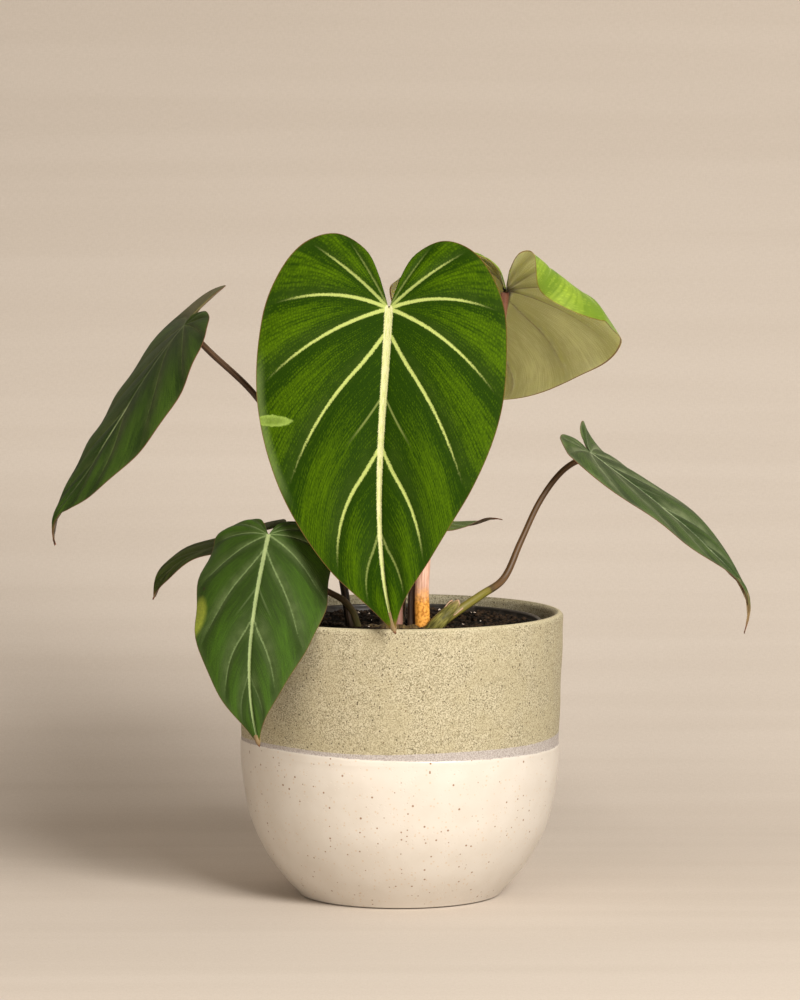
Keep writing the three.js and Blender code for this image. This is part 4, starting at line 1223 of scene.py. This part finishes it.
class PHILODENDRON_OT_soil(bpy.types.Operator):
    """The soil with its loose bits of bark and perlite"""

    bl_idname = "philodendron.soil"
    bl_label = "Soil"

    def execute(self, context):
        look = context.scene.plant_look
        random = np.random.default_rng(look.seed)
        edge, low = SOIL_EDGE, SOIL_FOOT
        sides, rings = 160, 46
        angle = np.arange(sides) * TAU / sides
        radii = edge * (np.arange(1, rings + 1) / rings) ** 0.9
        r, a = np.meshgrid(radii, angle, indexing="ij")
        x, y = r * np.cos(a), r * np.sin(a)
        rough = random.normal(0, 0.35, x.shape)
        z = soil_level(x, y) + rough - 0.7 * smooth(edge - 6, edge, r)
        rows = [np.stack([x, y, z], -1).reshape(-1, 3)]
        wall = [(60.6, 115), (57.6, 90), (50.5, 40), (41.2, low)]
        for radius, height in wall:
            around = [radius * np.cos(angle), radius * np.sin(angle), np.full(sides, height)]
            rows.append(np.stack(around, 1))
        places = np.concatenate([*rows, [[0, 0, soil_level(0, 0)], [0, 0, low]]])
        faces = [[b, a_, d, c] for a_, b, c, d in ring_faces(rings + len(wall), sides).tolist()]
        top, bottom = len(places) - 2, len(places) - 1
        last = (rings + len(wall) - 1) * sides
        for j in range(sides):
            k = (j + 1) % sides
            faces.append([top, j, k])
            faces.append([bottom, last + k, last + j])
        shades = [0] * len(faces)
        tint = [np.zeros(len(places))]
        parts, base = [places], len(places)
        for _ in range(look.soil_bits):
            kind = BARK if random.random() > PERLITE_SHARE else PERLITE
            size = random.uniform(*kind["size"])
            away, turn = BITS_WITHIN * math.sqrt(random.random()), random.uniform(0, TAU)
            at = np.array([away * math.cos(turn), away * math.sin(turn)])
            lump = chunk(random, size, random.uniform(*kind["flat"]))
            lump += [at[0], at[1], soil_level(*at) + size * 0.2]
            parts.append(lump)
            faces += [[v + base for v in face] for face in CHUNK_FACES]
            base += len(lump)
            shades += [kind["shade"]] * len(CHUNK_FACES)
            tint.append(np.full(len(lump), random.random()))
        add_piece("potting_soil", np.concatenate(parts), faces, soil_materials(), "soil", shades,
                  {"tint": np.concatenate(tint)})
        return {"FINISHED"}


class PHILODENDRON_OT_rhizome(bpy.types.Operator):
    """The creeping rhizome with its leaf scars"""

    bl_idname = "philodendron.rhizome"
    bl_label = "Rhizome"

    def execute(self, context):
        points = [(-31, -17, 117), (-18, -19, 118), (-4, -20, 118.5), (10, -20, 118), (24, -18, 117.5)]
        line, _ = spline(points, 110)
        sides = 32
        share = np.linspace(0, 1, len(line))
        angle = np.arange(sides) * TAU / sides
        offsets = []
        for s in share:
            end = math.sqrt(max(0.02, 1 - max(0, (abs(2 * s - 1) - 0.84) / 0.16) ** 2))
            scar = 1 + 0.035 * math.cos(TAU * 9 * s) - 0.05 * math.exp(-((s * 9 % 1 - 0.5) / 0.06) ** 2)
            radius = 7.8 * end * scar * (1 + 0.015 * np.cos(6 * angle + 20 * s))
            offsets.append(np.stack([radius * np.cos(angle), radius * np.sin(angle)], 1))
        material, g, bsdf = new_material("rhizome_skin", Specular_IOR_Level=0.3, Roughness=0.7)
        rings = g.noise(g.join(g.scaled(g.value("along"), 60.0), g.value("ribs")), 1.0, 3, 0.6)
        colour = g.mix(g.step(rings, 0.35, 0.65), srgb("3c2c1a"), srgb("6b5a34"))
        soiled = g.step(g.noise(g.place(), 0.5, 3), 0.5, 0.7, 0.0, 0.6)
        g.put(bsdf["Base Color"], g.mix(soiled, colour, srgb("2a1d12")))
        g.put(bsdf["Normal"], bump(g, rings, 0.4, 0.9))
        add_piece("creeping_rhizome", swept(line, offsets), capped(len(line), sides), [material], "rhizome",
                  values=along_and_ribs(share, angle))
        return {"FINISHED"}


# Pots


def stoneware_material(look):
    """Raw speckled clay above, a grey line of bare slip, and cream glaze with iron specks below."""
    material, g, bsdf = new_material("speckled_stoneware")
    where = g.place()
    fine = g.noise(where, 1.7, 2, 0.75)
    broad = g.noise(where, 0.09, 3, 0.5)
    clay = g.mix(g.step(fine, 0.38, 0.6), srgb("787054"), srgb("bab196"))
    clay = g.mix(g.step(broad, 0.35, 0.65, 0.0, 0.4), clay, look.clay)
    dark = g.group("specks", Where=where, Scale=0.62, Share=0.42, Size=0.32)["Mask"]
    small = g.group("specks", Where=where, Scale=0.95, Share=0.55, Size=0.36)["Mask"]
    clay = g.mix(g.scaled(small, 0.75), clay, srgb("5e4826"))
    clay = g.mix(g.scaled(dark, 0.8), clay, srgb("3e3018"))
    ash = g.group("specks", Where=where, Scale=1.7, Share=0.4, Size=0.3)["Mask"]
    slip = g.mix(g.step(fine, 0.3, 0.7), srgb("8d8580"), srgb("b9b1ab"))
    slip = g.mix(g.scaled(ash, 0.7), slip, srgb("5a4f46"))
    cream = g.mix(g.step(broad, 0.3, 0.7), look.glaze, srgb("cdc6bc"))
    tan = g.group("specks", Where=where, Scale=0.38, Share=0.36, Size=0.24)["Mask"]
    faint = g.group("specks", Where=where, Scale=0.6, Share=0.45, Size=0.34)["Mask"]
    cream = g.mix(g.scaled(faint, 0.42), cream, srgb("c09c6c"))
    cream = g.mix(g.scaled(tan, 0.85), cream, srgb("7c5228"))
    above = g.group("ragged line", Where=where, Distance=g.scaled(g.value("slip"), -1.0),
                    Fray=0.7, Fray_scale=0.5, Softness=0.18)["Mask"]
    below = g.group("ragged line", Where=where, Distance=g.value("glaze"), Fray=0.8, Fray_scale=0.35,
                    Softness=0.2)["Mask"]
    colour = g.mix(above, slip, clay)
    # Painted highlight: the crest of the rounded lip is painted pale cream
    rim = g.step(g.value("rim"), 0.0, 1.6, 0.4, 0.0)
    colour = g.mix(rim, colour, srgb("ddd0aa"))
    g.put(bsdf["Base Color"], g.mix(below, colour, cream))
    g.put(bsdf["Roughness"], g.step(below, 0.0, 1.0, 0.82, 0.3))
    grain = g.math("MULTIPLY", fine, g.math("SUBTRACT", 1.0, below))
    pits = g.math("MULTIPLY_ADD", dark, -0.5, grain)
    g.put(bsdf["Normal"], bump(g, pits, 0.12, 0.9))
    return material


class PHILODENDRON_OT_pots(bpy.types.Operator):
    """The stoneware pot and the plastic grow pot inside it"""

    bl_idname = "philodendron.pots"
    bl_label = "Pots"

    def execute(self, context):
        look = context.scene.plant_look
        sides = 224
        foot = [(0, 1.6), (20, 1.6), (38, 1.6), (40.5, 1.2), (42, 0.2), (43, 0), (45.4, 0), (46.2, 0.3)]
        belly = bezier([(46.5, 0.8), (60, 15), (72.3, 30), (73, 68)], np.linspace(0, 1, 46))
        wall_z = np.concatenate([np.arange(68.4, 80, 0.4), np.linspace(80, 126, 34)])
        wall_r = 73 + 2 * smooth(60, 136, wall_z)
        lip_turn = np.radians(np.linspace(-8, 188, 15))
        lip = np.stack([72.75 + 2.25 * np.cos(lip_turn), 127.75 + 2.25 * np.sin(lip_turn)], 1)
        inner_z = np.linspace(124, 70, 22)
        inner_r = 68.5 + 2 * (inner_z - 68) / 59.75
        bowl = bezier([(68.5, 68), (67.8, 36), (58.5, 18), (43.5, 7)], np.linspace(0, 1, 24))
        profile = np.concatenate([foot, belly, np.stack([wall_r, wall_z], 1), lip,
                                  np.stack([inner_r, inner_z], 1), bowl, [(30, 7), (0, 7)]])
        places, faces = turned(profile, sides)
        outer_rings = len(foot) + len(belly) + len(wall_z) + len(lip) // 2 + 1
        outside = np.repeat(np.arange(1, len(profile) - 1) < outer_rings, sides)
        outside = np.concatenate([outside, [True, False]])
        turn = np.arctan2(places[:, 0], -places[:, 1])
        top = look.glaze_top / MM
        edge = top + 0.9 * np.sin(turn * 2 + 2.6) - 0.5 * np.cos(turn * 3 + 0.4) - 0.9 * np.sin(turn) - 0.6
        band = 2.9 + 1.9 * np.sin(turn) + 0.9 * (1 - np.cos(turn)) + 0.3 * np.sin(5 * turn)
        glaze = np.where(outside, places[:, 2] - edge, POT_INSIDE)
        radius = np.hypot(places[:, 0], places[:, 1])
        swell = 0.16 * np.sin(places[:, 2] / 4.3 + 0.35 * turn) * smooth(8, 30, places[:, 2])
        swell = swell * (1 - smooth(122, 127, places[:, 2])) + 0.32 * (1 - smooth(-0.7, 0.5, glaze)) - 0.1
        swell = np.where(outside & (radius > 46), swell, 0)
        places[:, :2] *= ((radius + swell) / np.maximum(radius, 1e-6))[:, None]
        # How far each outer place lies below the lip's crest, where the painted highlight goes
        rim = np.where(outside, POT_RIM - places[:, 2], POT_INSIDE)
        numbers = {"glaze": glaze, "slip": glaze - band, "rim": rim}
        faces = [list(reversed(face)) for face in faces]
        add_piece("stoneware_pot", places, faces, [stoneware_material(look)], "ceramic_pot",
                  values=numbers)
        roll = np.radians(np.linspace(-60, 200, 12))
        lip = np.stack([64 + 1.0 * np.cos(roll), 125.5 + 1.0 * np.sin(roll)], 1)
        profile = np.concatenate([
            [(0, 8.1), (26, 8.1), (28, 7.3), (41, 7.3), (42, 8.2)],
            np.stack([np.linspace(42.4, 61.5, 24), np.linspace(9.5, 113.5, 24)], 1),
            [(62.4, 114.6), (63.9, 115), (64.2, 115.8)],
            np.stack([np.linspace(64.2, 64.5, 6), np.linspace(117, 124, 6)], 1), lip,
            np.stack([np.linspace(62.9, 60.6, 8), np.linspace(124, 113, 8)], 1),
            np.stack([np.linspace(60.4, 41.3, 20), np.linspace(112, 9.5, 20)], 1), [(28, 8.3), (0, 9.1)]])
        places, faces = turned(profile, 160)
        plastic, g, bsdf = new_material("grow_pot_plastic", Specular_IOR_Level=0.5)
        where = g.place()
        dust = g.noise(where, 0.25, 4, 0.65)
        dust_and_painted_sheen = g.step(dust, 0.45, 0.75, 0.0, 0.45)
        g.put(bsdf["Base Color"], g.mix(dust_and_painted_sheen, srgb("2c2823"), srgb("6b6158")))
        g.put(bsdf["Roughness"], g.step(dust, 0.3, 0.7, 0.38, 0.6))
        g.put(bsdf["Normal"], bump(g, g.noise(where, 1.5, 2), 0.03, 0.6))
        faces = [list(reversed(face)) for face in faces]
        add_piece("nursery_pot", places, faces, [plastic], "grow_pot")
        return {"FINISHED"}


# Stage


def add_light(name, place, towards, size, power, colour):
    """A square area light, in metres."""
    lamp = bpy.data.lights.new(name, "AREA")
    lamp.size = size
    lamp.energy = power
    lamp.color = colour[:3]
    light = bpy.data.objects.new(name, lamp)
    light.location = place
    light.rotation_euler = (Vector(towards) - Vector(place)).to_track_quat("-Z", "Y").to_euler()
    bpy.context.scene.collection.objects.link(light)


class PHILODENDRON_OT_stage(bpy.types.Operator):
    """Pale paper floor with a soft cove, studio lights and the camera"""

    bl_idname = "philodendron.stage"
    bl_label = "Stage"

    def execute(self, context):
        look = context.scene.stage_look
        scene = context.scene
        turn = np.linspace(0, math.pi / 2, 48)
        cove = np.stack([WALL - COVE + COVE * np.sin(turn), COVE - COVE * np.cos(turn)], 1)
        profile = [(-REACH, 0), (-0.6, 0), (0.1, 0), *cove, (WALL, 0.9), (WALL, WALL_TOP)]
        places = [(x, y, z - UNDER_POT) for y, z in profile for x in (-REACH, REACH)]
        faces = [(2 * i, 2 * i + 1, 2 * i + 3, 2 * i + 2) for i in range(len(profile) - 1)]
        # Flat floor under the cove, seen only from behind, where the cove is clear
        first = len(places)
        places += [(x, y, -UNDER_COVE) for y in (0.1, REACH) for x in (-REACH, REACH)]
        faces.append((first, first + 1, first + 3, first + 2))
        mesh = bpy.data.meshes.new("paper_sweep")
        mesh.from_pydata(places, [], faces)
        mesh.polygons.foreach_set("use_smooth", np.ones(len(faces), dtype=bool))
        paper, g, bsdf = new_material("paper", Roughness=0.85, Specular_IOR_Level=0.25)
        across, back, height = g.add("SeparateXYZ", {0: g.place()}).outputs
        up = g.math("ADD", back, height)
        threads = g.noise(g.join(g.scaled(across, 0.3), g.scaled(up, 1.3)), 1.0, 2, 0.6)
        uprights = g.noise(g.join(g.scaled(across, 1.3), g.scaled(up, 0.3), 9.0), 1.0, 2, 0.6)
        weave = g.math("ADD", g.scaled(threads, 0.5), g.scaled(uprights, 0.5))
        # Painted shade in faint horizontal creases, added to the weave's own tone
        painted_crease_shade = g.noise(g.join(g.scaled(across, 0.002), g.scaled(up, 0.035)), 1.0, 2, 0.5)
        shade = g.math("ADD", g.step(weave, 0.3, 0.7, 0.0, 0.16), g.step(painted_crease_shade, 0.3, 0.7, 0.0, 0.08))
        colour = g.mix(shade, look.paper, srgb("9c8b78"))
        # Painted shade: the paper darkens up the cove and the wall, standing in for light that falls off
        # higher up
        g.put(bsdf["Base Color"], g.mix(g.step(height, 0.0, 420.0, 0.0, 0.3), colour, srgb("6b6156")))
        g.put(bsdf["Normal"], bump(g, weave, 0.10, 0.35))
        show_front_only(paper)
        mesh.materials.append(paper)
        sweep = bpy.data.objects.new("paper_sweep", mesh)
        scene.collection.objects.link(sweep)
        aim = (0.02, 0, 0.13)
        add_light("key_light", (0.94, -1.59, 1.15), aim, 0.95, look.key_power, srgb("fffaf3"))
        add_light("fill_light", (-0.5, -1.05, 0.3), aim, 0.6, look.fill_power, srgb("fff2e2"))
        add_light("top_light", (-0.1, -0.2, 1.8), (-0.1, -0.1, 0), 1.0, look.top_power, srgb("fffaf3"))
        world = bpy.data.worlds.new("studio_air")
        world.use_nodes = True
        tree = world.node_tree
        air = next(n for n in tree.nodes if n.type == "BACKGROUND")
        air.inputs["Color"].default_value = srgb("ece4da")
        air.inputs["Strength"].default_value = 0.03
        seen = tree.nodes.new("ShaderNodeBackground")
        seen.inputs["Color"].default_value = srgb("b3a592")
        choose(tree, tree.nodes.new("ShaderNodeLightPath").outputs["Is Camera Ray"], air, seen,
               next(n for n in tree.nodes if n.type == "OUTPUT_WORLD"))
        scene.world = world
        lens = bpy.data.cameras.new("camera")
        lens.lens = look.camera_lens
        lens.sensor_width = 36
        lens.clip_end = 50
        camera = bpy.data.objects.new("camera", lens)
        camera.location = (0, -look.camera_distance, look.camera_height)
        camera.rotation_euler = (math.pi / 2 - look.camera_pitch, 0, 0)
        scene.collection.objects.link(camera)
        scene.camera = camera
        scene.view_settings.view_transform = "Standard"
        return {"FINISHED"}


def choose(tree, share, first, second, end):
    """Mix two shaders by a share into the tree's output."""
    mix = tree.nodes.new("ShaderNodeMixShader")
    tree.links.new(share, mix.inputs[0])
    tree.links.new(first.outputs[0], mix.inputs[1])
    tree.links.new(second.outputs[0], mix.inputs[2])
    tree.links.new(mix.outputs[0], end.inputs["Surface"])


def show_front_only(material):
    """Let the back of a one-sided sheet be clear, so that the paper never hides the plant."""
    tree = material.node_tree
    skin = next(n for n in tree.nodes if n.type == "BSDF_PRINCIPLED")
    end = next(n for n in tree.nodes if n.type == "OUTPUT_MATERIAL")
    choose(tree, tree.nodes.new("ShaderNodeNewGeometry").outputs["Backfacing"], skin,
           tree.nodes.new("ShaderNodeBsdfTransparent"), end)


class PHILODENDRON_PT_panel(bpy.types.Panel):
    """The plant's settings and the buttons that make it"""

    bl_idname = "PHILODENDRON_PT_panel"
    bl_label = "Potted Philodendron"
    bl_space_type = "VIEW_3D"
    bl_region_type = "UI"
    bl_category = "Plant"

    def draw(self, context):
        column = self.layout.column()
        for look in (context.scene.plant_look, context.scene.stage_look):
            for key in look.bl_rna.properties.keys():
                if key not in ("rna_type", "name"):
                    column.prop(look, key)
        for operator in OPERATORS:
            column.operator(operator.bl_idname)


OPERATORS = (
    PHILODENDRON_OT_leaves, PHILODENDRON_OT_sheath, PHILODENDRON_OT_rhizome, PHILODENDRON_OT_soil,
    PHILODENDRON_OT_pots, PHILODENDRON_OT_stage,
)
CLASSES = (PlantLook, StageLook, *OPERATORS, PHILODENDRON_PT_panel)


def register():
    for cls in CLASSES:
        bpy.utils.register_class(cls)
    bpy.types.Scene.plant_look = bpy.props.PointerProperty(type=PlantLook)
    bpy.types.Scene.stage_look = bpy.props.PointerProperty(type=StageLook)


def unregister():
    del bpy.types.Scene.stage_look
    del bpy.types.Scene.plant_look
    for cls in reversed(CLASSES):
        bpy.utils.unregister_class(cls)


def main():
    register()
    for build in (build_ragged_line, build_specks, build_barbed_vein, build_leaf_tissue,
                  build_oval_mark, build_fuzz):
        build()
    bpy.ops.philodendron.leaves()
    bpy.ops.philodendron.sheath()
    bpy.ops.philodendron.rhizome()
    bpy.ops.philodendron.soil()
    bpy.ops.philodendron.pots()
    bpy.ops.philodendron.stage()


if __name__ == "__main__":
    main()
